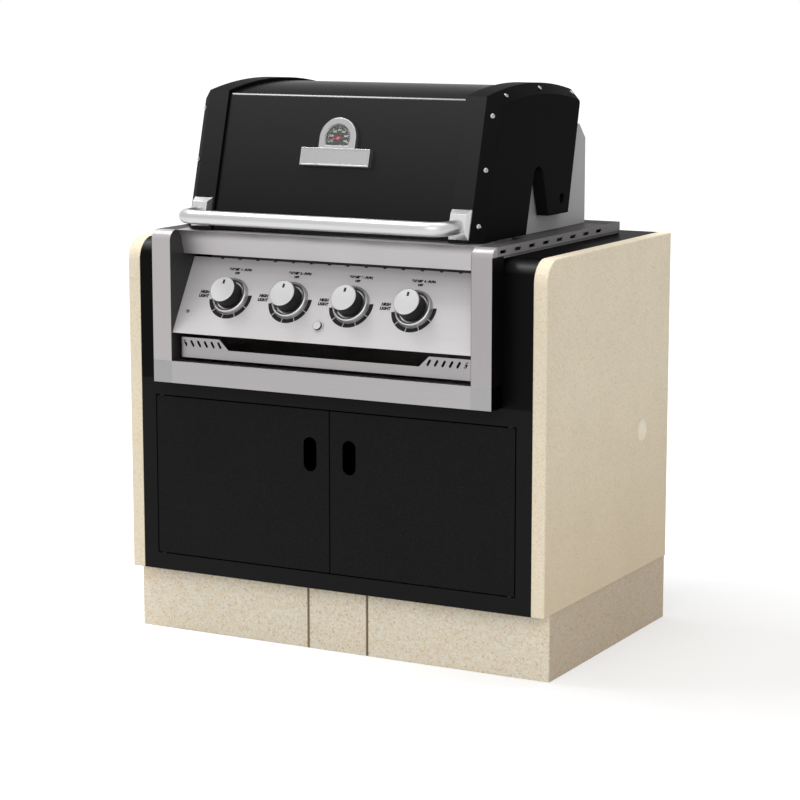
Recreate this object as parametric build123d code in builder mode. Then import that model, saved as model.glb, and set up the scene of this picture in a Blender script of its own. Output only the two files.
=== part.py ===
import os
from math import cos, radians, sin, sqrt, tan

from build123d import *

os.makedirs("parts", exist_ok=True)

# Masonry unit, in millimetres
unit_width = 1036.0
slab_depth = 665.0
slab_thickness = 31.0
worktop_height = 900.0
slab_corner_radius = 50.0
stone_edge = 1.5
plinth_height = 146.0
plinth_side_inset = 2.5
plinth_setback = 33.0
plinth_leg_width = 110.0
plinth_centre_width = 150.0
plinth_joint = 1.0

# Hose entry in the right slab
hose_hole_diameter = 52.0
hose_hole_setback = 514.0
hose_hole_level = 468.0
plug_clearance = 0.4
plug_wall = 4.0
plug_depth = 24.0
plug_dish = 1.5

# Cabinet
cabinet_sheet = 2.0
frame_border = 37.0
frame_depth = 25.0
floor_lip = 20.0
vent_length = 60.0
vent_width = 10.0
vent_pitch = 90.0
vent_row_pitch = 30.0
vent_columns = 4
vent_rows = 2
vent_level = 230.0

# Doors
door_gap = 3.0
door_depth = 20.0
door_sheet = 2.0
door_slot_width = 33.0
door_slot_height = 76.0
door_slot_offset = 48.9
door_slot_drop = 99.0
pivot_diameter = 8.0
pivot_edge_distance = 12.0
pivot_front_distance = 7.0
pivot_block_height = 10.0
pivot_washer_diameter = 14.0
running_clearance = 0.05
catch_width = 30.0
catch_height = 14.0
catch_depth = 12.0
catch_offset = 34.0
catch_clearance = 0.4

# Grill head frame
head_width = 836.0
head_rise = 26.0
head_back = 602.0
head_sheet = 2.0
surround_projection = 54.0
surround_base_gap = 2.0
surround_radius = 24.0
column_width = 48.5
column_back = 40.0
corner_cap_height = 49.0
corner_cap_wall = 3.0
cover_overlap = 22.0
cover_gap = 1.0
back_cover_lap = 6.0
rail_ledge_drop = 5.0
rail_slot_length = 30.0
rail_slot_width = 7.0
rail_slot_pitch = 69.5
rail_slot_first = 27.2
rail_slot_count = 8
rail_slot_drop = 11.0
rail_skirt_height = 6.0
rail_skirt_inset = 6.0
jacket_gap = 6.0
jacket_front = 62.0
jacket_back_gap = 12.0
jacket_foot = 12.0

# Fascia and control panel
fascia_height = 55.0
fascia_setback = 55.0
fascia_lean = 8.0
fascia_straight = 29.0
fascia_bulge = 3.5
panel_gap = 11.0
panel_length = 174.8
panel_lean = 30.6
panel_setback = 9.2
panel_lip_height = 9.7
panel_lip_lean = 5.0
panel_return = 20.0
edge_notch_width = 8.0
edge_notch_depth = 2.5
edge_notch_pitch = 45.5
tray_opening_height = 63.0

# Knobs, valves and igniter
knob_count = 4
knob_pitch = 152.0
knob_row_offset = -18.6
knob_rise = 84.0
knob_radius = 29.5
knob_base_radius = 30.5
knob_height = 42.0
knob_base_height = 7.0
knob_edge = 1.5
pointer_width = 5.0
pointer_length = 9.0
pointer_margin = 8.0
pointer_depth = 0.8
bezel_radius = 43.0
bezel_ring_radius = 38.5
bezel_ring_height = 11.0
bezel_recess_radius = 33.5
bezel_floor = 3.0
bezel_hole_radius = 14.0
spindle_radius = 4.0
spindle_length = 33.0
plunger_radius = 9.0
plunger_length = 14.0
plunger_top = 20.0
plunger_bore_depth = 40.0
valve_width = 28.0
valve_length = 44.0
valve_middle = 24.0
spud_radius = 6.0
stem_hole_radius = 12.0
manifold_width = 24.0
manifold_wall = 2.5
manifold_overhang = 60.0
inlet_radius = 9.0
inlet_length = 40.0
igniter_offset = -9.0
igniter_rise = 29.0
igniter_radius = 10.0
igniter_height = 8.0
igniter_depth = 20.0
igniter_edge = 1.5
sleeve_radius = 12.0
sleeve_flange_radius = 13.3
sleeve_flange_height = 2.0
sleeve_depth = 25.0
sleeve_hole_clearance = 0.3

# Firebox and what lies in it
firebox_gap = 13.4
firebox_depth = 430.0
firebox_wall = 5.0
firebox_drop = 6.0
firebox_wall_height = 170.0
hopper_height = 52.0
hopper_width = 400.0
hopper_depth = 200.0
ledge_width = 10.0
grid_ledge_drop = 40.0
plate_ledge_drop = 108.0
ledge_thickness = 7.0
burner_radius = 18.0
burner_overhang = 8.0
burner_mouth_radius = 15.0
burner_end_wall = 3.0
burner_hole_clearance = 0.5
burner_peg_radius = 6.0
burner_end_gap = 18.0
electrode_radius = 4.0
electrode_length = 28.0
electrode_tip_radius = 1.2
electrode_tip_length = 10.0
electrode_offset = 32.0
electrode_lift = 16.0
heat_plate_width = 100.0
heat_plate_height = 28.0
heat_plate_sheet = 2.0
heat_plate_edge = 4.0
loose_clearance = 1.5
grid_height = 14.0
grid_bar_width = 7.0
grid_bar_count = 13
grid_rim = 9.0
grid_cross_height = 9.0
grid_cross_count = 3
rack_rise = 85.0
rack_front = 240.0
rack_depth = 130.0
rack_wire_radius = 3.0
rack_cross_radius = 2.0
rack_cross_count = 13
rack_end_inset = 1.5

# Drip tray
tray_front_setback = 23.0
tray_front_gap = 7.0
tray_front_width = 716.0
tray_end_height = 45.0
tray_middle_height = 22.0
tray_end_length = 98.0
tray_step_run = 24.0
tray_sheet = 2.0
tray_width = 690.0
tray_length = 455.0
tray_height = 35.0
tray_floor_gap = 8.0
tray_lip = 12.0
tray_slot_length = 16.0
tray_slot_width = 5.5
tray_slot_angle = 60.0
tray_slot_pitch = 17.6
tray_slot_count = 6
tray_slot_margin = 10.5
tray_slot_drop = 13.3
runner_lap = 7.0
runner_sheet = 2.0
runner_height = 24.0
runner_length = 418.0
runner_clearance = 0.3

# Lid
lid_side_gap = 4.5
lid_gap = 2.0
lid_setback = 44.4
lid_front_height = 300.0
lid_front_lean = 15.4
lid_crown_depth = 295.0
lid_crown_height = 321.0
lid_back_depth = 522.0
lid_back_height = 294.0
lid_back_radius = 32.0
lid_front_radius = 17.0
lid_leg_rise = 31.0
lid_leg_back = 458.0
lid_leg_front = 330.0
notch_front = 217.0
notch_peak_depth = 274.4
notch_peak_height = 203.5
notch_radius = 25.0
cap_depth = 27.0
cap_bevel = 24.0
cap_wall = 4.0
rim_width = 49.0
rim_thickness = 7.0
rim_end_gap = 40.0
lid_skirt = 60.0
hood_sheet = 2.0
hood_side_gap = 4.0
hood_lift = 2.0
hood_back_lift = 72.0
hinge_back_distance = 59.0
hinge_rise = 33.0
hinge_pin_radius = 5.0
hinge_boss_radius = 16.0
hinge_pocket_radius = 12.0
hinge_pocket_depth = 12.0
hinge_washer_radius = 9.0
hinge_washer_thickness = 2.0
hinge_washer_gap = 0.4
hinge_plate_thickness = 2.5
hinge_plate_gap = 3.5
hinge_plate_foot = 30.0
hinge_plate_front = 215.0
hinge_plate_shoulder = 45.0
hinge_plate_peak_front = 345.0
hinge_plate_back_gap = 10.0
hinge_plate_top = 228.0
hinge_plate_chamfer = 34.0

# Handle
handle_projection = 89.5
handle_diameter = 31.0
handle_wall = 2.0
handle_bend_radius = 32.0
handle_level = 34.5
bracket_width = 46.0
bracket_height = 64.0
bracket_top_width = 37.0
bracket_top_height = 40.0
bracket_base = 4.0
bracket_thickness = 18.0
bracket_rise = 38.4

# Gauge on the hood
gauge_radius = 45.0
gauge_thickness = 13.0
gauge_rise = 212.0
gauge_plate_width = 169.0
gauge_plate_height = 38.4
gauge_plate_thickness = 15.0
gauge_plate_rim = 3.0
gauge_plate_recess = 0.8
gauge_plate_drop = 42.0
gauge_edge = 1.5
dial_radius = 29.5
dial_flat = 15.0
dial_floor = 7.0
lens_radius = 31.3
lens_seat = 11.0
lens_thickness = 1.6
lens_clearance = 0.3
needle_length = 22.0
needle_width = 2.4
needle_tip_width = 0.8
needle_tail = 7.0
needle_hub_radius = 4.0
needle_thickness = 1.2
needle_lift = 1.0
needle_pin_radius = 1.5
needle_rest_angle = 190.0

# Levels, measured from the floor
panel_rise = panel_length * cos(radians(panel_lean))
panel_run = panel_length * sin(radians(panel_lean))
panel_stack = tray_opening_height + panel_lip_height + panel_rise + panel_gap
head_height = corner_cap_height + panel_stack + fascia_height
head_top = worktop_height + head_rise
surround_bottom = head_top - head_height
rail_top = surround_bottom + corner_cap_height
panel_foot_level = rail_top + tray_opening_height + panel_lip_height
panel_top_level = panel_foot_level + panel_rise
fascia_bottom = head_top - fascia_height
ledge_level = head_top - rail_ledge_drop
frame_top = surround_bottom - surround_base_gap
opening_bottom = plinth_height + frame_border
opening_top = frame_top - frame_border
firebox_top = head_top - firebox_drop
lid_bottom = head_top + lid_gap

# Half widths, measured from the middle
slab_inner = unit_width / 2 - slab_thickness
plinth_half = unit_width / 2 - plinth_side_inset
opening_half = slab_inner - frame_border
head_half = head_width / 2
column_inner = head_half - column_width
cover_inner = head_half - cover_overlap
jacket_half = cover_inner - jacket_gap
lid_half = column_inner - lid_side_gap
cap_inner = lid_half - cap_depth
rim_outer = lid_half - cap_bevel
plate_outer = cap_inner - hinge_plate_gap
firebox_half = plate_outer - hinge_plate_thickness
hood_half = firebox_half - hood_side_gap

# Depths, measured back from the fronts of the slabs
surround_front = -surround_projection
panel_foot_depth = surround_front + panel_setback
panel_top_depth = panel_foot_depth + panel_run
surround_top_front = surround_front + surround_radius
fascia_depth = surround_front + fascia_setback
firebox_front = panel_top_depth + firebox_gap
firebox_back = firebox_front + firebox_depth
lid_front = surround_front + lid_setback
tray_front_depth = surround_front + tray_front_setback

# The part stands with its middle over the origin, from the handle to the back of the slabs
handle_reach = handle_projection + handle_diameter / 2
front_y = (handle_reach - slab_depth) / 2
plan = Plane((0, front_y, 0))
profile = Plane((0, front_y, 0), (0, 1, 0), (1, 0, 0))
face = Plane((0, front_y, 0), (1, 0, 0), (0, -1, 0))

# Planes of the sloping control panel
lean_sin = sin(radians(panel_lean))
lean_cos = cos(radians(panel_lean))
panel_foot = Vector(0, front_y + panel_foot_depth, panel_foot_level)
panel_up = Vector(0, lean_sin, lean_cos)
panel_normal = Vector(0, -lean_cos, lean_sin)
panel_plane = Plane(panel_foot, (1, 0, 0), panel_normal)

# Planes of the leaning front of the lid
lid_sin = sin(radians(lid_front_lean))
lid_cos = cos(radians(lid_front_lean))
lid_normal = Vector(0, -lid_cos, lid_sin)
rim_face = Plane((0, front_y + lid_front, lid_bottom), (1, 0, 0), lid_normal)
hood_face = rim_face.offset(-rim_thickness)

first_knob = knob_row_offset - (knob_count - 1) * knob_pitch / 2
knob_places = [first_knob + number * knob_pitch for number in range(knob_count)]
burner_level = panel_foot_level + knob_rise * lean_cos - valve_middle * lean_sin


def keep(piece, name):
    piece.part.label = name
    export_step(piece.part, f"parts/{name}.step")


def keep_mirrored(piece, name):
    with BuildPart() as twin:
        mirror(piece.part, about=Plane.YZ)
    keep(twin, name)


def turned(place, rise, outline):
    # A round piece that stands on the control panel, drawn as radius and height
    base = panel_foot + Vector(place, 0, 0) + panel_up * rise
    section = Plane(base, (1, 0, 0), (0, -lean_sin, -lean_cos))
    with BuildPart() as piece:
        with BuildSketch(section):
            with BuildLine():
                Polyline(*outline, close=True)
            make_face()
        revolve(axis=Axis(base, panel_normal))
    return piece


def on_panel(place, rise):
    # Plane of the control panel with its middle at one knob
    return Plane(panel_foot + Vector(place, 0, 0) + panel_up * rise, (1, 0, 0), panel_normal)


# Plinth: two corner blocks and a centre block between them
centre_half = plinth_centre_width / 2
plinth_inner = plinth_half - plinth_leg_width
plinth_leg_back = plinth_setback + plinth_leg_width

with BuildPart() as plinth_right:
    with BuildSketch(plan):
        with BuildLine():
            Polyline(
                (centre_half, plinth_setback),
                (plinth_half, plinth_setback),
                (plinth_half, slab_depth),
                (plinth_inner, slab_depth),
                (plinth_inner, plinth_leg_back),
                (centre_half, plinth_leg_back),
                close=True,
            )
        make_face()
    extrude(amount=plinth_height)
    chamfer(edges().filter_by(Axis.Z).group_by(Axis.X)[-1], stone_edge)
    chamfer(edges().filter_by(Axis.Z).group_by(Axis.X)[0], stone_edge)
keep(plinth_right, "plinth_right")
keep_mirrored(plinth_right, "plinth_left")

with BuildPart() as plinth_centre:
    with BuildSketch(plan):
        with Locations((0, (plinth_setback + plinth_leg_back) / 2)):
            Rectangle(plinth_centre_width - 2 * plinth_joint, plinth_leg_width)
    extrude(amount=plinth_height)
    chamfer(edges().filter_by(Axis.Z), stone_edge)
keep(plinth_centre, "plinth_centre")

# Side slabs with a rounded front top corner
with BuildPart() as side_slab_left:
    with BuildSketch(profile.offset(-unit_width / 2)):
        with Locations((slab_depth / 2, (plinth_height + worktop_height) / 2)):
            Rectangle(slab_depth, worktop_height - plinth_height)
        fillet(vertices().group_by(Axis.X)[0].sort_by(Axis.Y)[-1], slab_corner_radius)
    extrude(amount=slab_thickness)
    chamfer(faces().sort_by(Axis.X)[0].edges(), stone_edge)
keep(side_slab_left, "side_slab_left")

hose_plane = Plane(
    (unit_width / 2, front_y + hose_hole_setback, hose_hole_level), (0, 1, 0), (1, 0, 0)
)
with BuildPart() as side_slab_right:
    mirror(side_slab_left.part, about=Plane.YZ)
    with BuildSketch(hose_plane):
        Circle(hose_hole_diameter / 2)
    extrude(amount=-slab_thickness, mode=Mode.SUBTRACT)
keep(side_slab_right, "side_slab_right")

# Cup-shaped plug that closes the hose entry
plug_radius = hose_hole_diameter / 2 - plug_clearance
with BuildPart() as hose_plug:
    with BuildSketch(hose_plane):
        Circle(plug_radius)
    extrude(amount=-plug_depth)
    with BuildSketch(hose_plane):
        Circle(plug_radius - plug_wall)
    extrude(amount=-plug_dish, mode=Mode.SUBTRACT)
    with BuildSketch(hose_plane.offset(-plug_depth)):
        Circle(plug_radius - plug_wall)
    extrude(amount=plug_depth - plug_dish - plug_wall, mode=Mode.SUBTRACT)
keep(hose_plug, "hose_plug")

# Front frame of the cabinet, folded from sheet and open at the back
with BuildPart() as cabinet_frame:
    with BuildSketch(face):
        with Locations((0, (plinth_height + frame_top) / 2)):
            Rectangle(2 * slab_inner, frame_top - plinth_height)
        with Locations((0, (opening_bottom + opening_top) / 2)):
            Rectangle(2 * opening_half, opening_top - opening_bottom, mode=Mode.SUBTRACT)
    extrude(amount=-frame_depth)
    offset(amount=-cabinet_sheet, openings=faces().sort_by(Axis.Y)[-1])
keep(cabinet_frame, "cabinet_frame")

# Floor of the cabinet with turned-up sides
with BuildPart() as cabinet_floor:
    with BuildSketch(face.offset(-frame_depth)):
        with BuildLine():
            Polyline(
                (-slab_inner, plinth_height + floor_lip),
                (-slab_inner, plinth_height),
                (slab_inner, plinth_height),
                (slab_inner, plinth_height + floor_lip),
                (slab_inner - cabinet_sheet, plinth_height + floor_lip),
                (slab_inner - cabinet_sheet, plinth_height + cabinet_sheet),
                (-slab_inner + cabinet_sheet, plinth_height + cabinet_sheet),
                (-slab_inner + cabinet_sheet, plinth_height + floor_lip),
                close=True,
            )
        make_face()
    extrude(amount=-(slab_depth - cabinet_sheet - frame_depth))
keep(cabinet_floor, "cabinet_floor")

# Back of the cabinet, folded forward at the top behind the grill head
back_cover_front = head_back - back_cover_lap
with BuildPart() as cabinet_back:
    with BuildSketch(face.offset(-slab_depth)):
        with Locations((0, (plinth_height + worktop_height) / 2)):
            Rectangle(2 * slab_inner, worktop_height - plinth_height)
        with Locations((0, vent_level)):
            with GridLocations(vent_pitch, vent_row_pitch, vent_columns, vent_rows):
                SlotOverall(vent_length, vent_width, mode=Mode.SUBTRACT)
    extrude(amount=cabinet_sheet)
    with BuildSketch(plan.offset(worktop_height - cabinet_sheet)):
        with Locations((0, (back_cover_front + slab_depth) / 2)):
            Rectangle(2 * cover_inner, slab_depth - back_cover_front)
    extrude(amount=cabinet_sheet)
keep(cabinet_back, "cabinet_back")

# Bent cover on each side of the grill head
cover_back = slab_depth - cabinet_sheet
cover_bend_top = worktop_height - slab_corner_radius
with BuildPart() as top_cover_right:
    with BuildSketch(profile.offset(cover_inner)):
        with BuildLine():
            Line((0, frame_top), (0, cover_bend_top))
            JernArc((0, cover_bend_top), (0, 1), slab_corner_radius, -90)
            Line((slab_corner_radius, worktop_height), (cover_back, worktop_height))
            Line((cover_back, worktop_height), (cover_back, worktop_height - cabinet_sheet))
            Line(
                (cover_back, worktop_height - cabinet_sheet),
                (slab_corner_radius, worktop_height - cabinet_sheet),
            )
            JernArc(
                (slab_corner_radius, worktop_height - cabinet_sheet),
                (-1, 0),
                slab_corner_radius - cabinet_sheet,
                90,
            )
            Line((cabinet_sheet, cover_bend_top), (cabinet_sheet, frame_top))
            Line((cabinet_sheet, frame_top), (0, frame_top))
        make_face()
    extrude(amount=slab_inner - cover_inner)
keep(top_cover_right, "top_cover_right")
keep_mirrored(top_cover_right, "top_cover_left")

# Doors: folded pans with a finger slot and pivot blocks in the hinge-side corners
door_near = door_gap / 2
door_far = opening_half - door_gap
door_bottom = opening_bottom + door_gap
door_top = opening_top - door_gap
door_slot_level = door_top - door_slot_drop
pivot_place = door_far - pivot_edge_distance

with BuildPart() as door_right:
    with BuildSketch(face):
        with Locations(((door_near + door_far) / 2, (door_bottom + door_top) / 2)):
            Rectangle(door_far - door_near, door_top - door_bottom)
    extrude(amount=-door_depth)
    offset(amount=-door_sheet, openings=faces().sort_by(Axis.Y)[-1])
    with BuildSketch(face):
        with Locations((door_slot_offset, door_slot_level)):
            SlotOverall(door_slot_height, door_slot_width, rotation=90)
    extrude(amount=-door_sheet, mode=Mode.SUBTRACT)
    for level in (door_bottom, door_top - pivot_block_height):
        with BuildSketch(plan.offset(level)):
            with Locations((pivot_place, pivot_front_distance)):
                Rectangle(2 * pivot_edge_distance, 2 * pivot_front_distance)
        extrude(amount=pivot_block_height)
        with BuildSketch(plan.offset(level)):
            with Locations((pivot_place, pivot_front_distance)):
                Circle(pivot_diameter / 2 + running_clearance)
        extrude(amount=pivot_block_height, mode=Mode.SUBTRACT)
keep(door_right, "door_right")
keep_mirrored(door_right, "door_left")

# Pivot pins with washers, above and below each door
door_pin_length = door_gap + pivot_block_height - running_clearance
washer_height = door_gap - catch_clearance
with BuildPart() as door_pivots:
    for level, way in ((opening_bottom, 1), (opening_top, -1)):
        with BuildSketch(plan.offset(level)):
            with Locations((-pivot_place, pivot_front_distance), (pivot_place, pivot_front_distance)):
                Circle(pivot_diameter / 2)
        extrude(amount=way * door_pin_length)
        with BuildSketch(plan.offset(level)):
            with Locations((-pivot_place, pivot_front_distance), (pivot_place, pivot_front_distance)):
                Circle(pivot_washer_diameter / 2)
        extrude(amount=way * washer_height)
keep(door_pivots, "door_pivots")

# Magnet catches under the top of the frame, behind the doors
catch_front = door_depth + catch_clearance
with BuildPart() as door_catches:
    with BuildSketch(plan.offset(opening_top)):
        with Locations(
            (-catch_offset, catch_front + catch_depth / 2), (catch_offset, catch_front + catch_depth / 2)
        ):
            Rectangle(catch_width, catch_depth)
    extrude(amount=-catch_height)
keep(door_catches, "door_catches")

# Columns of the surround, folded from sheet and open at the back
bend_bottom = head_top - surround_radius
outer_wall_back = -cover_gap
top_sheet_under = head_top - head_sheet
rail_wall_bottom = worktop_height + rail_skirt_height

with BuildPart() as column_right:
    # Front and its rounded top
    with BuildSketch(profile.offset(column_inner)):
        with BuildLine():
            Line((surround_front, rail_top), (surround_front, bend_bottom))
            JernArc((surround_front, bend_bottom), (0, 1), surround_radius, -90)
            Line((surround_top_front, head_top), (surround_top_front, top_sheet_under))
            JernArc((surround_top_front, top_sheet_under), (-1, 0), surround_radius - head_sheet, 90)
            Line((surround_front + head_sheet, bend_bottom), (surround_front + head_sheet, rail_top))
            Line((surround_front + head_sheet, rail_top), (surround_front, rail_top))
        make_face()
    extrude(amount=column_width)
    # Inner wall, which runs back beside the control panel
    with BuildSketch(profile.offset(column_inner)):
        with BuildLine():
            Line((surround_front, rail_top), (surround_front, bend_bottom))
            JernArc((surround_front, bend_bottom), (0, 1), surround_radius, -90)
            Polyline(
                (surround_top_front, head_top),
                (surround_top_front, top_sheet_under),
                (column_back, top_sheet_under),
                (column_back, rail_top),
                (surround_front, rail_top),
            )
        make_face()
    extrude(amount=head_sheet)
    # Outer wall, which stops at the cover behind it
    with BuildSketch(profile.offset(head_half - head_sheet)):
        with BuildLine():
            Line((surround_front, rail_top), (surround_front, bend_bottom))
            JernArc((surround_front, bend_bottom), (0, 1), surround_radius, -90)
            Polyline(
                (surround_top_front, head_top),
                (surround_top_front, rail_wall_bottom),
                (outer_wall_back, rail_wall_bottom),
                (outer_wall_back, rail_top),
                (surround_front, rail_top),
            )
        make_face()
    extrude(amount=head_sheet)
keep(column_right, "column_right")
keep_mirrored(column_right, "column_left")

# Moulded corner caps at the feet of the columns
with BuildPart() as corner_caps:
    with BuildSketch(plan.offset(surround_bottom)):
        with Locations((head_half - column_width / 2, (surround_front + outer_wall_back) / 2)):
            Rectangle(column_width, outer_wall_back - surround_front)
    extrude(amount=corner_cap_height)
    offset(amount=-corner_cap_wall, openings=faces().sort_by(Axis.Y)[-1])
    mirror(about=Plane.YZ)
keep(corner_caps, "corner_caps")

# Lower rail between the corner caps
with BuildPart() as lower_rail:
    with BuildSketch(profile.offset(-column_inner)):
        with Locations(((surround_front + outer_wall_back) / 2, (surround_bottom + rail_top) / 2)):
            Rectangle(outer_wall_back - surround_front, corner_cap_height)
        with Locations(
            ((surround_front + outer_wall_back + head_sheet) / 2, (surround_bottom + rail_top) / 2)
        ):
            Rectangle(
                outer_wall_back - surround_front - head_sheet,
                corner_cap_height - 2 * head_sheet,
                mode=Mode.SUBTRACT,
            )
    extrude(amount=2 * column_inner)
keep(lower_rail, "lower_rail")

# Fascia: a visor that curves forward over the control panel, with a top plate under the lid
fascia_knee = (fascia_depth - fascia_lean, fascia_bottom + fascia_straight)
fascia_nose = (surround_top_front, head_top)
fascia_middle = (
    (fascia_knee[0] + fascia_nose[0]) / 2 + fascia_bulge,
    (fascia_knee[1] + fascia_nose[1]) / 2 + fascia_bulge,
)
fascia_plate_back = firebox_front - cover_gap
with BuildPart() as fascia:
    with BuildSketch(profile.offset(-column_inner)):
        with BuildLine():
            Line((panel_top_depth, fascia_bottom), (fascia_depth, fascia_bottom))
            Line((fascia_depth, fascia_bottom), fascia_knee)
            ThreePointArc(fascia_knee, fascia_middle, fascia_nose)
            Line(fascia_nose, (fascia_plate_back, head_top))
            offset(amount=head_sheet, side=Side.RIGHT)
        make_face()
    extrude(amount=2 * column_inner)
keep(fascia, "fascia")

# Control panel: lip and slope, with notches in the upper edge
panel_lip_foot = (panel_foot_depth - panel_lip_lean, panel_foot_level - panel_lip_height)
edge_notch_count = int((2 * column_inner - 2 * column_width) / edge_notch_pitch)
with BuildPart() as control_panel:
    with BuildSketch(profile.offset(-column_inner)):
        with BuildLine():
            Polyline(
                (panel_lip_foot[0] + panel_return, panel_lip_foot[1]),
                panel_lip_foot,
                (panel_foot_depth, panel_foot_level),
                (panel_top_depth, panel_top_level),
            )
            offset(amount=head_sheet, side=Side.RIGHT)
        make_face()
    extrude(amount=2 * column_inner)
    with BuildSketch(panel_plane):
        with Locations(*[(place, knob_rise) for place in knob_places]):
            Circle(stem_hole_radius)
        with Locations((igniter_offset, igniter_rise)):
            Circle(sleeve_radius + sleeve_hole_clearance)
        with Locations((0, panel_length)):
            with GridLocations(edge_notch_pitch, 1, edge_notch_count, 1):
                Rectangle(edge_notch_width, 2 * edge_notch_depth)
    extrude(amount=-2 * head_sheet, mode=Mode.SUBTRACT)
keep(control_panel, "control_panel")

# Side rails: slotted outer wall over a set-back skirt, ledge beside the firebox and a foot on the cover
rail_end = head_back - head_sheet
skirt_outer = head_half - rail_skirt_inset + head_sheet
with BuildPart() as side_rail_right:
    with BuildSketch(profile.offset(head_half - head_sheet)):
        with Locations(((surround_top_front + head_back) / 2, (rail_wall_bottom + head_top) / 2)):
            Rectangle(head_back - surround_top_front, head_top - rail_wall_bottom)
        for number in range(rail_slot_count):
            slot_depth = surround_top_front + rail_slot_first + number * rail_slot_pitch
            with Locations((slot_depth, head_top - rail_slot_drop)):
                SlotOverall(rail_slot_length, rail_slot_width, mode=Mode.SUBTRACT)
    extrude(amount=head_sheet)
    # Top of the column
    with BuildSketch(plan.offset(head_top - head_sheet)):
        with Locations(((column_inner + head_half) / 2, (surround_top_front + fascia_plate_back) / 2)):
            Rectangle(column_width, fascia_plate_back - surround_top_front)
    extrude(amount=head_sheet)
    # Step down from the column top to the ledge
    with BuildSketch(face.offset(-fascia_plate_back)):
        with Locations(((plate_outer + head_half) / 2, (ledge_level - head_sheet + head_top) / 2)):
            Rectangle(head_half - plate_outer, head_top - ledge_level + head_sheet)
    extrude(amount=-head_sheet)
    # Ledge
    with BuildSketch(plan.offset(ledge_level - head_sheet)):
        with Locations(((plate_outer + head_half) / 2, (fascia_plate_back + rail_end) / 2)):
            Rectangle(head_half - plate_outer, rail_end - fascia_plate_back)
    extrude(amount=head_sheet)
    # Step in under the wall, skirt and foot
    with BuildSketch(plan.offset(rail_wall_bottom)):
        with Locations((head_half - rail_skirt_inset / 2, rail_end / 2)):
            Rectangle(rail_skirt_inset, rail_end)
    extrude(amount=head_sheet)
    with BuildSketch(plan.offset(worktop_height)):
        with Locations((skirt_outer - head_sheet / 2, rail_end / 2)):
            Rectangle(head_sheet, rail_end)
    extrude(amount=rail_skirt_height)
    with BuildSketch(plan.offset(worktop_height)):
        with Locations(((cover_inner + skirt_outer) / 2, rail_end / 2)):
            Rectangle(skirt_outer - cover_inner, rail_end)
    extrude(amount=head_sheet)
keep(side_rail_right, "side_rail_right")
keep_mirrored(side_rail_right, "side_rail_left")

# Rear rail between the side rails, with a ledge behind the firebox
with BuildPart() as rear_rail:
    with BuildSketch(face.offset(-head_back)):
        with Locations((0, (worktop_height + head_top) / 2)):
            Rectangle(2 * (head_half - head_sheet), head_rise)
    extrude(amount=head_sheet)
    with BuildSketch(plan.offset(ledge_level)):
        with Locations((0, (firebox_back + head_back) / 2)):
            Rectangle(2 * firebox_half, head_back - firebox_back)
    extrude(amount=-head_sheet)
keep(rear_rail, "rear_rail")

# Jacket that hangs under the rails around the firebox and the drip tray
jacket_back = head_back - jacket_back_gap
jacket_bottom = surround_bottom + jacket_foot
ledge_under = ledge_level - head_sheet
with BuildPart() as head_jacket:
    with BuildSketch(plan.offset(jacket_bottom)):
        with BuildLine():
            Polyline(
                (-jacket_half, jacket_front),
                (-jacket_half, jacket_back),
                (jacket_half, jacket_back),
                (jacket_half, jacket_front),
            )
            offset(amount=head_sheet, side=Side.RIGHT)
        make_face()
    extrude(amount=ledge_under - jacket_bottom)
keep(head_jacket, "head_jacket")

# Firebox: a tub with an open hopper over the drip tray
firebox_inner = firebox_half - firebox_wall
firebox_middle = firebox_front + firebox_depth / 2
wall_bottom = firebox_top - firebox_wall_height
hopper_bottom = wall_bottom - hopper_height
inside_front = firebox_front + firebox_wall
inside_back = firebox_back - firebox_wall
grid_level = firebox_top - grid_ledge_drop
plate_level = firebox_top - plate_ledge_drop

with BuildPart() as firebox:
    with BuildSketch(plan.offset(wall_bottom)):
        with Locations((0, firebox_middle)):
            Rectangle(2 * firebox_half, firebox_depth)
    extrude(amount=firebox_wall_height)
    with BuildSketch(plan.offset(wall_bottom)):
        with Locations((0, firebox_middle)):
            Rectangle(2 * firebox_half, firebox_depth)
    with BuildSketch(plan.offset(hopper_bottom)):
        with Locations((0, firebox_middle)):
            Rectangle(hopper_width, hopper_depth)
    loft()
    with BuildSketch(plan.offset(wall_bottom)):
        with Locations((0, firebox_middle)):
            Rectangle(2 * firebox_inner, firebox_depth - 2 * firebox_wall)
    extrude(amount=firebox_wall_height, mode=Mode.SUBTRACT)
    with BuildSketch(plan.offset(wall_bottom)):
        with Locations((0, firebox_middle)):
            Rectangle(2 * firebox_inner, firebox_depth - 2 * firebox_wall)
    with BuildSketch(plan.offset(hopper_bottom)):
        with Locations((0, firebox_middle)):
            Rectangle(hopper_width - 2 * firebox_wall, hopper_depth - 2 * firebox_wall)
    loft(mode=Mode.SUBTRACT)
    # Ledges for the cooking grids and the heat plates
    for level in (grid_level, plate_level):
        with BuildSketch(plan.offset(level)):
            with Locations(
                (0, inside_front + ledge_width / 2), (0, inside_back - ledge_width / 2)
            ):
                Rectangle(2 * firebox_inner, ledge_width)
        extrude(amount=-ledge_thickness)
    # Holes for the burners
    with BuildSketch(face.offset(-firebox_front)):
        with Locations(*[(place, burner_level) for place in knob_places]):
            Circle(burner_radius + burner_hole_clearance)
    extrude(amount=-firebox_wall, mode=Mode.SUBTRACT)
    with BuildSketch(face.offset(-inside_back)):
        with Locations(*[(place, burner_level) for place in knob_places]):
            Circle(burner_peg_radius + burner_hole_clearance)
    extrude(amount=-firebox_wall, mode=Mode.SUBTRACT)
keep(firebox, "firebox")

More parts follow.
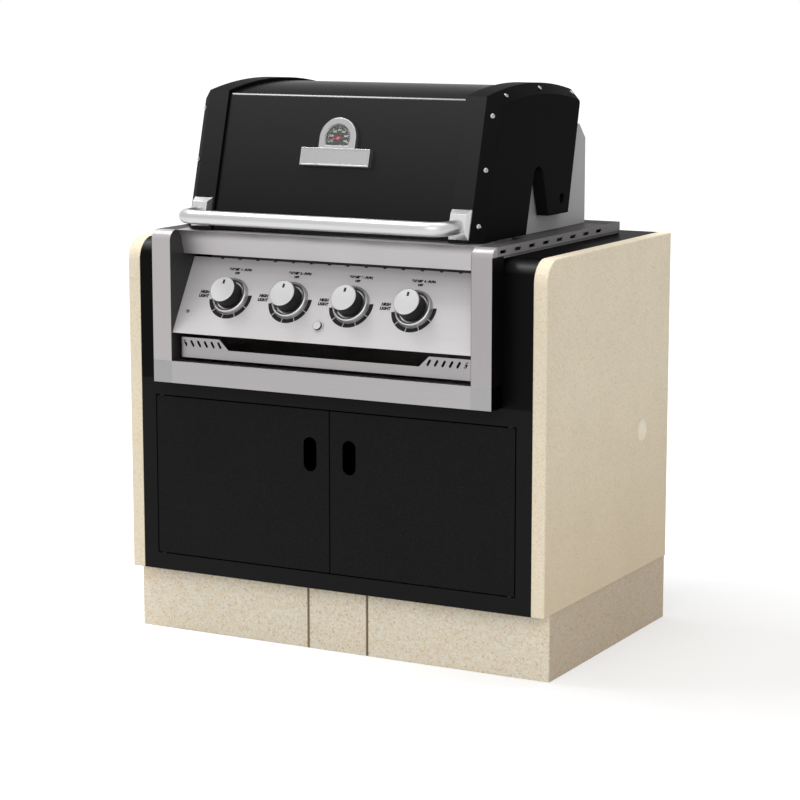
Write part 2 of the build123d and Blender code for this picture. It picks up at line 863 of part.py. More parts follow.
# Burners: tubes with an open mouth at the valve and a peg in the back wall
burner_front = firebox_front - burner_overhang
burner_back = inside_back - burner_end_gap
burner_length = burner_back - burner_front
with BuildPart() as burners:
    with BuildSketch(face.offset(-burner_front)):
        with Locations(*[(place, burner_level) for place in knob_places]):
            Circle(burner_radius)
    extrude(amount=-burner_length)
    with BuildSketch(face.offset(-burner_back)):
        with Locations(*[(place, burner_level) for place in knob_places]):
            Circle(burner_peg_radius)
    extrude(amount=-(firebox_back - burner_back))
    with BuildSketch(face.offset(-burner_front)):
        with Locations(*[(place, burner_level) for place in knob_places]):
            Circle(burner_mouth_radius)
    extrude(amount=-(burner_length - burner_end_wall), mode=Mode.SUBTRACT)
keep(burners, "burners")

# Spark electrodes on the front wall of the firebox
with BuildPart() as spark_electrodes:
    spark_places = [(place + electrode_offset, burner_level + electrode_lift) for place in knob_places]
    with BuildSketch(face.offset(-inside_front)):
        with Locations(*spark_places):
            Circle(electrode_radius)
    extrude(amount=-electrode_length)
    with BuildSketch(face.offset(-(inside_front + electrode_length))):
        with Locations(*spark_places):
            Circle(electrode_tip_radius)
    extrude(amount=-electrode_tip_length)
keep(spark_electrodes, "spark_electrodes")

# Heat plates: roofs over the burners
heat_plate_length = firebox_depth - 2 * firebox_wall - 2 * loose_clearance
heat_plate_half = heat_plate_width / 2
with BuildPart() as heat_plates:
    for place in knob_places:
        with BuildSketch(face.offset(-(inside_front + loose_clearance))):
            with BuildLine():
                Polyline(
                    (place - heat_plate_half, plate_level),
                    (place, plate_level + heat_plate_height),
                    (place + heat_plate_half, plate_level),
                    (place + heat_plate_half - heat_plate_edge, plate_level),
                    (place, plate_level + heat_plate_height - heat_plate_sheet),
                    (place - heat_plate_half + heat_plate_edge, plate_level),
                    close=True,
                )
            make_face()
        extrude(amount=-heat_plate_length)
keep(heat_plates, "heat_plates")

# Cooking grids: bars on two end rims and a cross rib
grid_width = firebox_inner - 2 * loose_clearance
grid_middle = firebox_inner / 2
grid_length = firebox_depth - 2 * firebox_wall - 2 * loose_clearance
grid_bar_pitch = (grid_width - grid_bar_width) / (grid_bar_count - 1)
with BuildPart() as cooking_grid_right:
    with BuildSketch(plan.offset(grid_level)):
        with Locations((grid_middle, firebox_middle)):
            with GridLocations(grid_bar_pitch, 1, grid_bar_count, 1):
                Rectangle(grid_bar_width, grid_length)
    extrude(amount=grid_height)
    with BuildSketch(plan.offset(grid_level)):
        with Locations((grid_middle, firebox_middle)):
            with GridLocations(1, (grid_length - grid_rim) / (grid_cross_count - 1), 1, grid_cross_count):
                Rectangle(grid_width, grid_rim)
    extrude(amount=grid_cross_height)
keep(cooking_grid_right, "cooking_grid_right")
keep_mirrored(cooking_grid_right, "cooking_grid_left")

# Warming rack: two long wires, cross wires and legs on the rims of the firebox
rack_level = firebox_top + rack_rise
rack_half = firebox_inner + rack_end_inset
rack_back = rack_front + rack_depth
with BuildPart() as warming_rack:
    for depth in (rack_front, rack_back):
        with BuildSketch(profile.offset(-rack_half)):
            with Locations((depth, rack_level)):
                Circle(rack_wire_radius)
        extrude(amount=2 * rack_half)
        with BuildSketch(plan.offset(firebox_top)):
            with Locations((-rack_half, depth), (rack_half, depth)):
                Rectangle(2 * rack_wire_radius, 2 * rack_wire_radius)
        extrude(amount=rack_rise + rack_wire_radius)
    with BuildSketch(face.offset(-rack_front)):
        with Locations((0, rack_level)):
            with GridLocations(2 * rack_half / (rack_cross_count + 1), 1, rack_cross_count, 1):
                Circle(rack_cross_radius)
    extrude(amount=-rack_depth)
keep(warming_rack, "warming_rack")

# Drip tray: a pan that hangs on its side lips
tray_half = tray_width / 2
tray_bottom = rail_top + tray_floor_gap
tray_top = tray_bottom + tray_height
tray_pan_front = tray_front_depth + tray_sheet
tray_front_half = tray_front_width / 2
tray_front_bottom = rail_top + tray_front_gap
tray_end_top = tray_front_bottom + tray_end_height
tray_middle_top = tray_front_bottom + tray_middle_height
tray_end_inner = tray_front_half - tray_end_length
tray_slot_level = tray_end_top - tray_slot_drop
with BuildPart() as drip_tray:
    with BuildSketch(plan.offset(tray_bottom)):
        with Locations((0, tray_pan_front + tray_length / 2)):
            Rectangle(tray_width, tray_length)
    extrude(amount=tray_height)
    offset(amount=-tray_sheet, openings=faces().sort_by(Axis.Z)[-1])
    with BuildSketch(plan.offset(tray_top)):
        with Locations(
            (-tray_half - tray_lip / 2, tray_pan_front + tray_length / 2),
            (tray_half + tray_lip / 2, tray_pan_front + tray_length / 2),
        ):
            Rectangle(tray_lip, tray_length)
    extrude(amount=-tray_sheet)
    # Low front wall, so that the slots in the front lie open
    with BuildSketch(face.offset(-tray_pan_front)):
        with Locations((0, (tray_middle_top + tray_top) / 2)):
            Rectangle(tray_width - 2 * tray_sheet, tray_top - tray_middle_top)
    extrude(amount=-tray_sheet, mode=Mode.SUBTRACT)
keep(drip_tray, "drip_tray")

# Front of the drip tray with raised, slotted ends
with BuildPart() as tray_front:
    with BuildSketch(face.offset(-tray_front_depth)):
        with BuildLine():
            Polyline(
                (-tray_front_half, tray_front_bottom),
                (tray_front_half, tray_front_bottom),
                (tray_front_half, tray_end_top),
                (tray_end_inner, tray_end_top),
                (tray_end_inner - tray_step_run, tray_middle_top),
                (-tray_end_inner + tray_step_run, tray_middle_top),
                (-tray_end_inner, tray_end_top),
                (-tray_front_half, tray_end_top),
                close=True,
            )
        make_face()
        for number in range(tray_slot_count):
            slot_place = tray_front_half - tray_slot_margin - number * tray_slot_pitch
            with Locations((slot_place, tray_slot_level)):
                SlotOverall(
                    tray_slot_length, tray_slot_width, rotation=tray_slot_angle, mode=Mode.SUBTRACT
                )
            with Locations((-slot_place, tray_slot_level)):
                SlotOverall(
                    tray_slot_length, tray_slot_width, rotation=-tray_slot_angle, mode=Mode.SUBTRACT
                )
    extrude(amount=-tray_sheet)
keep(tray_front, "tray_front")

# Runners on the jacket that carry the lips of the tray
runner_top = tray_top - tray_sheet - runner_clearance
runner_inner = tray_half + tray_lip - runner_lap
runner_outer = jacket_half - head_sheet
with BuildPart() as tray_runners:
    with BuildSketch(plan.offset(runner_top)):
        with Locations(((runner_inner + runner_outer) / 2, jacket_front + runner_length / 2)):
            Rectangle(runner_outer - runner_inner, runner_length)
    extrude(amount=-runner_sheet)
    with BuildSketch(plan.offset(runner_top)):
        with Locations((runner_outer - runner_sheet / 2, jacket_front + runner_length / 2)):
            Rectangle(runner_sheet, runner_length)
    extrude(amount=-runner_height)
    mirror(about=Plane.YZ)
keep(tray_runners, "tray_runners")

# Gas manifold: a square tube under the valves with a gas inlet at its right end
manifold_left = knob_places[0] - manifold_overhang
manifold_right = knob_places[-1] + manifold_overhang
manifold_rise = knob_rise - valve_width / 2 - manifold_width / 2
manifold_start = Plane(panel_foot + Vector(manifold_left, 0, 0), panel_up, (1, 0, 0))
manifold_end = Plane(panel_foot + Vector(manifold_right, 0, 0), panel_up, (1, 0, 0))
with BuildPart() as gas_manifold:
    with BuildSketch(manifold_start):
        with Locations((manifold_rise, -valve_middle)):
            Rectangle(manifold_width, manifold_width)
    extrude(amount=manifold_right - manifold_left)
    with BuildSketch(manifold_start.offset(manifold_wall)):
        with Locations((manifold_rise, -valve_middle)):
            Rectangle(manifold_width - 2 * manifold_wall, manifold_width - 2 * manifold_wall)
    extrude(amount=manifold_right - manifold_left - 2 * manifold_wall, mode=Mode.SUBTRACT)
    with BuildSketch(manifold_end):
        with Locations((manifold_rise, -valve_middle)):
            Circle(inlet_radius)
    extrude(amount=inlet_length)
    with BuildSketch(manifold_end.offset(-manifold_wall)):
        with Locations((manifold_rise, -valve_middle)):
            Circle(inlet_radius - manifold_wall)
    extrude(amount=inlet_length + manifold_wall, mode=Mode.SUBTRACT)
keep(gas_manifold, "gas_manifold")

# Valve bodies behind the panel, each with a spud that points into its burner
valve_depth = panel_foot_depth + knob_rise * lean_sin + valve_middle * lean_cos
spud_end = burner_front + spud_radius
with BuildPart() as gas_valves:
    for place in knob_places:
        with BuildSketch(on_panel(place, knob_rise).offset(-head_sheet)):
            Rectangle(valve_width, valve_width)
        extrude(amount=-valve_length)
        with BuildSketch(face.offset(-valve_depth)):
            with Locations((place, burner_level)):
                Circle(spud_radius)
        extrude(amount=-(spud_end - valve_depth))
        with BuildSketch(on_panel(place, knob_rise).offset(-head_sheet)):
            Circle(plunger_radius + running_clearance)
        extrude(amount=-(plunger_bore_depth - head_sheet), mode=Mode.SUBTRACT)
keep(gas_valves, "gas_valves")

# Plungers that slide in the valves, and knobs whose spindles turn in the plungers
plunger_bottom = plunger_top + plunger_length
for number, place in enumerate(knob_places, start=1):
    with BuildPart() as knob_plunger:
        with BuildSketch(on_panel(place, knob_rise).offset(-plunger_bottom)):
            Circle(plunger_radius)
            Circle(spindle_radius + running_clearance, mode=Mode.SUBTRACT)
        extrude(amount=plunger_length)
    keep(knob_plunger, f"knob_plunger_{number}")

    knob_outline = [
        (0, -spindle_length),
        (spindle_radius, -spindle_length),
        (spindle_radius, knob_base_height),
        (knob_base_radius - knob_edge, knob_base_height),
        (knob_base_radius, knob_base_height + knob_edge),
        (knob_radius, knob_height - knob_edge),
        (knob_radius - knob_edge, knob_height),
        (0, knob_height),
    ]
    knob_blank = turned(place, knob_rise, knob_outline)
    with BuildPart() as knob:
        add(knob_blank.part)
        with BuildSketch(on_panel(place, knob_rise).offset(knob_height)):
            with Locations((0, knob_radius - pointer_margin - pointer_length / 2)):
                Rectangle(pointer_width, pointer_length)
        extrude(amount=-pointer_depth, mode=Mode.SUBTRACT)
    keep(knob, f"knob_{number}")

# Dished bezels around the knobs
bezel_outline = [
    (bezel_hole_radius, 0),
    (bezel_radius, 0),
    (bezel_radius, knob_edge),
    ((bezel_radius + bezel_ring_radius) / 2, bezel_ring_height - knob_edge),
    (bezel_ring_radius, bezel_ring_height),
    ((bezel_ring_radius + bezel_recess_radius) / 2, bezel_ring_height - knob_edge),
    (bezel_recess_radius, bezel_floor),
    (bezel_hole_radius, bezel_floor),
]
with BuildPart() as knob_bezels:
    for place in knob_places:
        add(turned(place, knob_rise, bezel_outline).part)
keep(knob_bezels, "knob_bezels")

# Igniter: a push button in a flanged sleeve
sleeve_outline = [
    (igniter_radius + running_clearance, -sleeve_depth),
    (sleeve_radius, -sleeve_depth),
    (sleeve_radius, 0),
    (sleeve_flange_radius, 0),
    (sleeve_flange_radius, sleeve_flange_height),
    (igniter_radius + running_clearance, sleeve_flange_height),
]
igniter_sleeve = turned(igniter_offset, igniter_rise, sleeve_outline)
keep(igniter_sleeve, "igniter_sleeve")

button_outline = [
    (0, -igniter_depth),
    (igniter_radius, -igniter_depth),
    (igniter_radius, igniter_height - igniter_edge),
    (igniter_radius - igniter_edge, igniter_height),
    (0, igniter_height),
]
igniter_button = turned(igniter_offset, igniter_rise, button_outline)
keep(igniter_button, "igniter_button")

# Side outline of the lid, as depth and height
front_foot = (lid_front, lid_bottom)
front_peak = (lid_front + lid_front_height * tan(radians(lid_front_lean)), lid_bottom + lid_front_height)
crown = (lid_crown_depth, lid_bottom + lid_crown_height)
back_peak = (lid_back_depth, lid_bottom + lid_back_height)
leg_level = lid_bottom + lid_leg_rise
leg_heel = (lid_leg_back, leg_level)
leg_toe = (lid_leg_front, leg_level)
notch_peak = (notch_peak_depth, lid_bottom + notch_peak_height)
notch_foot = (notch_front, lid_bottom)
hinge_depth = lid_leg_back - hinge_back_distance
hinge_level = leg_level + hinge_rise

with BuildSketch() as cap_outline:
    with BuildLine():
        Line(front_foot, front_peak)
        ThreePointArc(front_peak, crown, back_peak)
        Polyline(back_peak, leg_heel, leg_toe, notch_peak, notch_foot, front_foot)
    make_face()
    fillet(vertices().sort_by_distance((back_peak[0], back_peak[1], 0))[0], lid_back_radius)
    fillet(vertices().sort_by_distance((notch_peak[0], notch_peak[1], 0))[0], notch_radius)

# Section of the lid with its front and back run on below the edge
skirt_level = lid_bottom - lid_skirt
back_slope = (lid_back_depth - lid_leg_back) / (lid_back_height - lid_leg_rise)
front_skirt = (lid_front - lid_skirt * tan(radians(lid_front_lean)), skirt_level)
back_skirt = (lid_leg_back - back_slope * (lid_leg_rise + lid_skirt), skirt_level)
with BuildSketch() as lid_section:
    with BuildLine():
        Line(front_skirt, front_peak)
        ThreePointArc(front_peak, crown, back_peak)
        Polyline(back_peak, back_skirt, front_skirt)
    make_face()
    fillet(vertices().sort_by_distance((back_peak[0], back_peak[1], 0))[0], lid_back_radius)
    fillet(vertices().sort_by_distance((front_peak[0], front_peak[1], 0))[0], lid_front_radius)

# End caps: hollow castings with a bevelled edge, a rim over the hood and a hinge boss
front_middle = Vector(
    lid_half, front_y + (front_foot[0] + front_peak[0]) / 2, (front_foot[1] + front_peak[1]) / 2
)
crown_point = Vector(lid_half, front_y + crown[0], crown[1])
cavity_bevel = cap_bevel - cap_wall * (2 - sqrt(2))
rim_step = rim_thickness / lid_cos
rim_cut = lid_bottom + (notch_peak_height + lid_back_height) / 2
rim_end = lid_back_depth - rim_end_gap
hinge_plane = Plane((lid_half, front_y + hinge_depth, hinge_level), (0, 1, 0), (1, 0, 0))

with BuildPart() as cap_cavity:
    with BuildSketch(profile.offset(cap_inner)):
        add(cap_outline.sketch)
        offset(amount=-cap_wall)
    extrude(amount=cap_depth - cap_wall)
    cavity_edges = faces().sort_by(Axis.X)[-1].edges()
    chamfer(
        [cavity_edges.sort_by_distance(front_middle)[0], cavity_edges.sort_by_distance(crown_point)[0]],
        cavity_bevel,
    )

with BuildPart() as end_cap_right:
    with BuildSketch(profile.offset(cap_inner)):
        add(cap_outline.sketch)
    extrude(amount=cap_depth)
    cap_edges = faces().sort_by(Axis.X)[-1].edges()
    chamfer(
        [cap_edges.sort_by_distance(front_middle)[0], cap_edges.sort_by_distance(crown_point)[0]],
        cap_bevel,
    )
    add(cap_cavity.part, mode=Mode.SUBTRACT)
    # Rim that laps over the front and the top of the hood
    with BuildSketch(profile.offset(rim_outer - rim_width)):
        add(cap_outline.sketch)
        offset(cap_outline.sketch, amount=-rim_thickness, mode=Mode.SUBTRACT)
        with BuildLine():
            Polyline(
                (front_skirt[0] + rim_step, skirt_level),
                (lid_front + rim_step + (rim_cut - lid_bottom) * tan(radians(lid_front_lean)), rim_cut),
                (rim_end, rim_cut),
                (rim_end, crown[1] + lid_skirt),
                (lid_back_depth + lid_skirt, crown[1] + lid_skirt),
                (lid_back_depth + lid_skirt, skirt_level),
                close=True,
            )
        make_face(mode=Mode.SUBTRACT)
    extrude(amount=rim_width)
    # Hinge boss with a pocket in the outer face
    with BuildSketch(hinge_plane):
        Circle(hinge_boss_radius)
    extrude(amount=-cap_depth)
    with BuildSketch(hinge_plane):
        Circle(hinge_pocket_radius)
    extrude(amount=-hinge_pocket_depth, mode=Mode.SUBTRACT)
    with BuildSketch(hinge_plane):
        Circle(hinge_pin_radius + running_clearance)
    extrude(amount=-cap_depth, mode=Mode.SUBTRACT)
keep(end_cap_right, "end_cap_right")
keep_mirrored(end_cap_right, "end_cap_left")

# Hood: one sheet bent over the front, the top and the back
hood_bottom = lid_bottom + hood_lift
hood_back_bottom = lid_bottom + hood_back_lift
with BuildPart() as hood:
    with BuildSketch(profile.offset(-hood_half)):
        offset(lid_section.sketch, amount=-rim_thickness, mode=Mode.ADD)
        offset(lid_section.sketch, amount=-rim_thickness - hood_sheet, mode=Mode.SUBTRACT)
        with Locations((lid_crown_depth, hood_bottom - lid_skirt)):
            Rectangle(2 * lid_back_depth, 2 * lid_skirt, mode=Mode.SUBTRACT)
        with Locations((lid_crown_depth + lid_back_depth / 2, hood_back_bottom - lid_skirt)):
            Rectangle(lid_back_depth, 2 * lid_skirt, mode=Mode.SUBTRACT)
    extrude(amount=2 * hood_half)
keep(hood, "hood")

# Hinge plates that stand beside the firebox and carry the lid
plate_foot_level = firebox_top - hinge_plate_foot
plate_shoulder = firebox_top + hinge_plate_shoulder
plate_top = firebox_top + hinge_plate_top
plate_back = head_back - hinge_plate_back_gap
with BuildPart() as hinge_plate_right:
    with BuildSketch(profile.offset(firebox_half)):
        with BuildLine():
            Polyline(
                (hinge_plate_front, plate_foot_level),
                (firebox_back, plate_foot_level),
                (firebox_back, ledge_level),
                (plate_back, ledge_level),
                (plate_back, plate_top - hinge_plate_chamfer),
                (plate_back - hinge_plate_chamfer, plate_top),
                (hinge_plate_peak_front, plate_top),
                (hinge_plate_front, plate_shoulder),
                close=True,
            )
        make_face()
    extrude(amount=hinge_plate_thickness)
keep(hinge_plate_right, "hinge_plate_right")
keep_mirrored(hinge_plate_right, "hinge_plate_left")

# Hinge pins with a washer in the pocket of each end cap
hinge_pin_length = cap_depth + hinge_plate_gap - hinge_pocket_depth
pin_plane = hinge_plane.offset(plate_outer - lid_half)
with BuildPart() as hinge_pins:
    with BuildSketch(pin_plane):
        Circle(hinge_pin_radius)
    extrude(amount=hinge_pin_length + hinge_washer_gap + hinge_washer_thickness)
    with BuildSketch(pin_plane.offset(hinge_pin_length + hinge_washer_gap)):
        Circle(hinge_washer_radius)
    extrude(amount=hinge_washer_thickness)
    mirror(about=Plane.YZ)
keep(hinge_pins, "hinge_pins")

# Handle brackets: bevelled blocks on the rims of the end caps
bracket_place = rim_outer - bracket_width / 2
with BuildPart() as handle_brackets:
    for place in (-bracket_place, bracket_place):
        with BuildSketch(rim_face):
            with Locations((place, bracket_rise)):
                Rectangle(bracket_width, bracket_height)
        extrude(amount=bracket_base)
        with BuildSketch(rim_face.offset(bracket_base)):
            with Locations((place, bracket_rise)):
                Rectangle(bracket_width, bracket_height)
        with BuildSketch(rim_face.offset(bracket_thickness)):
            with Locations((place, bracket_rise)):
                Rectangle(bracket_top_width, bracket_top_height)
        loft()
keep(handle_brackets, "handle_brackets")

# Handle: one bent tube between the brackets
handle_root = lid_front + handle_level * tan(radians(lid_front_lean))
handle_plane = plan.offset(lid_bottom + handle_level)
handle_start = handle_plane.from_local_coords((-bracket_place, handle_root, 0))
with BuildPart() as handle_bar:
    with BuildLine(handle_plane):
        FilletPolyline(
            (-bracket_place, handle_root),
            (-bracket_place, -handle_projection),
            (bracket_place, -handle_projection),
            (bracket_place, handle_root),
            radius=handle_bend_radius,
        )
    with BuildSketch(Plane(handle_start, z_dir=(0, -1, 0))):
        Circle(handle_diameter / 2)
        Circle(handle_diameter / 2 - handle_wall, mode=Mode.SUBTRACT)
    sweep()
    split(bisect_by=rim_face.offset(bracket_thickness), keep=Keep.TOP)
keep(handle_bar, "handle_bar")

# Gauge housing: a round-topped plaque over a plain plate
dial_centre = hood_face.from_local_coords((0, gauge_rise, 0))
dial_plane = Plane(dial_centre, (1, 0, 0), lid_normal)
plate_rise = gauge_rise - gauge_plate_drop


def dial_shape(radius, flat):
    with BuildSketch() as shape:
        Circle(radius)
        with Locations((0, -flat - radius)):
            Rectangle(4 * radius, 2 * radius, mode=Mode.SUBTRACT)
    return shape.sketch


with BuildPart() as gauge_housing:
    with BuildSketch(dial_plane):
        Circle(gauge_radius)
        with Locations((0, -gauge_plate_drop / 2)):
            Rectangle(2 * gauge_radius, gauge_plate_drop)
    extrude(amount=gauge_thickness)
    chamfer(faces().filter_by(Plane(dial_centre, z_dir=lid_normal)).sort_by(Axis.Y)[0].edges(), gauge_edge)
    with BuildSketch(hood_face):
        with Locations((0, plate_rise)):
            Rectangle(gauge_plate_width, gauge_plate_height)
    extrude(amount=gauge_plate_thickness)
    with BuildSketch(hood_face.offset(gauge_plate_thickness)):
        with Locations((0, plate_rise)):
            Rectangle(gauge_plate_width - 2 * gauge_plate_rim, gauge_plate_height - 2 * gauge_plate_rim)
    extrude(amount=-gauge_plate_recess, mode=Mode.SUBTRACT)
    with BuildSketch(dial_plane.offset(lens_seat)):
        add(dial_shape(lens_radius + lens_clearance, dial_flat + lens_radius - dial_radius + lens_clearance))
    extrude(amount=gauge_thickness, mode=Mode.SUBTRACT)
    with BuildSketch(dial_plane.offset(dial_floor)):
        add(dial_shape(dial_radius, dial_flat))
    extrude(amount=gauge_thickness, mode=Mode.SUBTRACT)
    with BuildSketch(dial_plane.offset(dial_floor)):
        Circle(needle_pin_radius)
    extrude(amount=needle_lift + needle_thickness)
keep(gauge_housing, "gauge_housing")

with BuildPart() as gauge_lens:
    with BuildSketch(dial_plane.offset(lens_seat)):
        add(dial_shape(lens_radius, dial_flat + lens_radius - dial_radius))
    extrude(amount=lens_thickness)
keep(gauge_lens, "gauge_lens")

# Needle that turns on a pin in the dial
rest_angle = radians(needle_rest_angle)
needle_way = Vector(cos(rest_angle), sin(rest_angle) * lid_sin, sin(rest_angle) * lid_cos)
needle_plane = Plane(dial_plane.offset(dial_floor + needle_lift).origin, needle_way, lid_normal)
with BuildPart() as gauge_needle:
    with BuildSketch(needle_plane):
        with BuildLine():
            Polyline(
                (-needle_tail, needle_width / 2),
                (needle_length, needle_tip_width / 2),
                (needle_length, -needle_tip_width / 2),
                (-needle_tail, -needle_width / 2),
                close=True,
            )
        make_face()
        Circle(needle_hub_radius)
        Circle(needle_pin_radius + running_clearance, mode=Mode.SUBTRACT)
    extrude(amount=needle_thickness)
keep(gauge_needle, "gauge_needle")
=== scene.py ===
from math import cos, hypot, radians, sin, sqrt

import bmesh
import bpy
from mathutils import Matrix, Vector


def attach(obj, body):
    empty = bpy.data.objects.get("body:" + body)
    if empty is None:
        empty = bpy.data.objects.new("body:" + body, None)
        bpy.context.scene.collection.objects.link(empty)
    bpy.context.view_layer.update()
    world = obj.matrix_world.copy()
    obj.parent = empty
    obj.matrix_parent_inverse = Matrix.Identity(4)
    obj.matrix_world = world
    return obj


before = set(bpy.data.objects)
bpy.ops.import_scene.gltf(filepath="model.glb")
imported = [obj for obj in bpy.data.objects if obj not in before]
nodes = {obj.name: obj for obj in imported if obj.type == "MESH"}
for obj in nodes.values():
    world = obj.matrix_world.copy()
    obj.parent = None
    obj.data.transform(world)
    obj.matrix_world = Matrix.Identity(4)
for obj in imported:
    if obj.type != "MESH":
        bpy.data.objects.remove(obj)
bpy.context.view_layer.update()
knobNumbers = range(1, 5)
print("frame loaded with", len(nodes), "nodes")

scene = bpy.context.scene
scene.view_settings.view_transform = "Standard"

# camera where the picture was taken from
cameraSettings = {"place": (2.6383, -4.8559, 1.4676), "tilt": 9.641, "turn": 28.30,
                  "lens": 111.29, "sensor": 36.0, "clipEnd": 60.0}
cameraData = bpy.data.cameras.new("camera")
cameraData.lens = cameraSettings["lens"]
cameraData.sensor_width = cameraSettings["sensor"]
cameraData.clip_end = cameraSettings["clipEnd"]
camera = bpy.data.objects.new("camera", cameraData)
camera.location = cameraSettings["place"]
camera.rotation_euler = (radians(90 - cameraSettings["tilt"]), 0, radians(cameraSettings["turn"]))
scene.collection.objects.link(camera)
scene.camera = camera
print("camera set")


# tones are written as picture values from 0 to 255, and turned into linear light
def tone(red, green, blue):
    shares = [value / 255 for value in (red, green, blue)]
    linear = [s / 12.92 if s <= 0.04045 else ((s + 0.055) / 1.055) ** 2.4 for s in shares]
    return (*linear, 1.0)


def grey(value):
    return tone(value, value, value)


# node helpers: a value is linked if it comes from a node, and set if it is a number
def plug(tree, value, socket):
    if hasattr(value, "is_output"):
        tree.links.new(value, socket)
    else:
        socket.default_value = value


def addNode(tree, kind, **sockets):
    node = tree.nodes.new(kind)
    for label, value in sockets.items():
        plug(tree, value, node.inputs[label])
    return node


def addMath(tree, operation, first, second=0.5, third=0.0):
    node = tree.nodes.new("ShaderNodeMath")
    node.operation = operation
    plug(tree, first, node.inputs[0])
    plug(tree, second, node.inputs[1])
    plug(tree, third, node.inputs[2])
    return node.outputs[0]


def addVector(tree, operation, first, second):
    node = tree.nodes.new("ShaderNodeVectorMath")
    node.operation = operation
    plug(tree, first, node.inputs[0])
    plug(tree, second, node.inputs[1])
    return node.outputs["Value" if operation in ("DOT_PRODUCT", "DISTANCE") else "Vector"]


# the colour sockets of a Mix node have the same names as its others, so they go by number
def addMix(tree, factor, first, second, blend="MIX"):
    node = tree.nodes.new("ShaderNodeMix")
    node.data_type = "RGBA"
    node.blend_type = blend
    plug(tree, factor, node.inputs[0])
    plug(tree, first, node.inputs[6])
    plug(tree, second, node.inputs[7])
    return node.outputs[2]


def addRange(tree, value, low, high, newLow=0.0, newHigh=1.0):
    node = tree.nodes.new("ShaderNodeMapRange")
    plug(tree, value, node.inputs["Value"])
    for label, amount in (("From Min", low), ("From Max", high), ("To Min", newLow), ("To Max", newHigh)):
        plug(tree, amount, node.inputs[label])
    return node.outputs["Result"]


def addNoise(tree, vector, scale, detail=2.0, roughness=0.5):
    node = addNode(tree, "ShaderNodeTexNoise", Vector=vector, Scale=scale, Detail=detail, Roughness=roughness)
    return node.outputs["Fac"]


noiseSpan = (0.3, 0.7)  # most values of a noise lie between these
patchSpan = (0.35, 0.65)  # a tighter span, for clearer patches


def fromNoise(tree, value, newLow=0.0, newHigh=1.0, span=noiseSpan):
    return addRange(tree, value, *span, newLow, newHigh)


def addParts(tree, vector):
    return addNode(tree, "ShaderNodeSeparateXYZ", Vector=vector).outputs


def faceWay(tree):
    return addParts(tree, tree.nodes.new("ShaderNodeNewGeometry").outputs["Normal"])


def addGrey(tree, value):
    return addNode(tree, "ShaderNodeCombineColor", Red=value, Green=value, Blue=value).outputs["Color"]


def newGroup(name, inputs, outputs):
    group = bpy.data.node_groups.new(name, "ShaderNodeTree")
    for label, kind, value in inputs:
        socket = group.interface.new_socket(name=label, in_out="INPUT", socket_type="NodeSocket" + kind)
        if value is not None:
            socket.default_value = value
    for label, kind in outputs:
        group.interface.new_socket(name=label, in_out="OUTPUT", socket_type="NodeSocket" + kind)
    start = group.nodes.new("NodeGroupInput")
    end = group.nodes.new("NodeGroupOutput")
    return group, start.outputs, end.inputs


def useGroup(tree, group, **sockets):
    node = tree.nodes.new("ShaderNodeGroup")
    node.node_tree = group
    for label, value in sockets.items():
        plug(tree, value, node.inputs[label])
    return node.outputs


# sand grains, pale and dark, with pits between them
grainSettings = {"cloudScale": 9.0, "cloudTint": (0.97, 1.02), "coarseShare": 0.6, "fineShare": 0.4,
                 "specks": (0.78, 0.97), "lights": (0.75, 0.95), "lightShare": 0.35,
                 "pitShare": 0.8, "pitGrain": 0.35}
sandGrain, given, made = newGroup(
    "sandGrain",
    [("Vector", "Vector", None), ("Coarse", "Float", 240.0), ("Fine", "Float", 700.0),
     ("Pale", "Color", (0.8, 0.7, 0.6, 1)), ("Sand", "Color", (0.7, 0.6, 0.5, 1)),
     ("Dark", "Color", (0.3, 0.25, 0.2, 1)), ("Specks", "Float", 0.5)],
    [("Color", "Color"), ("Height", "Float")],
)
tree = sandGrain
coarse = addNode(tree, "ShaderNodeTexVoronoi", Vector=given["Vector"], Scale=given["Coarse"])
fine = addNode(tree, "ShaderNodeTexVoronoi", Vector=given["Vector"], Scale=given["Fine"])
coarseParts = addNode(tree, "ShaderNodeSeparateColor", Color=coarse.outputs["Color"]).outputs
fineParts = addNode(tree, "ShaderNodeSeparateColor", Color=fine.outputs["Color"]).outputs
cloud = addNoise(tree, given["Vector"], grainSettings["cloudScale"], detail=4.0, roughness=0.6)
grainShare = addMath(tree, "ADD", addMath(tree, "MULTIPLY", coarseParts["Red"], grainSettings["coarseShare"]),
                     addMath(tree, "MULTIPLY", fineParts["Red"], grainSettings["fineShare"]))
body = addMix(tree, grainShare, given["Pale"], given["Sand"])
speckMask = addRange(tree, coarseParts["Green"], *grainSettings["specks"])
speckMask = addMath(tree, "MULTIPLY", speckMask, given["Specks"])
body = addMix(tree, speckMask, body, given["Dark"])
lightMask = addRange(tree, fineParts["Green"], *grainSettings["lights"])
lightMask = addMath(tree, "MULTIPLY", lightMask, grainSettings["lightShare"])
body = addMix(tree, lightMask, body, given["Pale"])
cloudTone = addGrey(tree, fromNoise(tree, cloud, *grainSettings["cloudTint"]))
body = addMix(tree, 1.0, body, cloudTone, "MULTIPLY")
tree.links.new(body, made["Color"])
pits = addMath(tree, "MULTIPLY", coarse.outputs["Distance"], grainSettings["pitShare"])
pits = addMath(tree, "SUBTRACT", 1.0, pits)
pits = addMath(tree, "ADD", pits, addMath(tree, "MULTIPLY", fineParts["Blue"], grainSettings["pitGrain"]))
tree.links.new(pits, made["Height"])

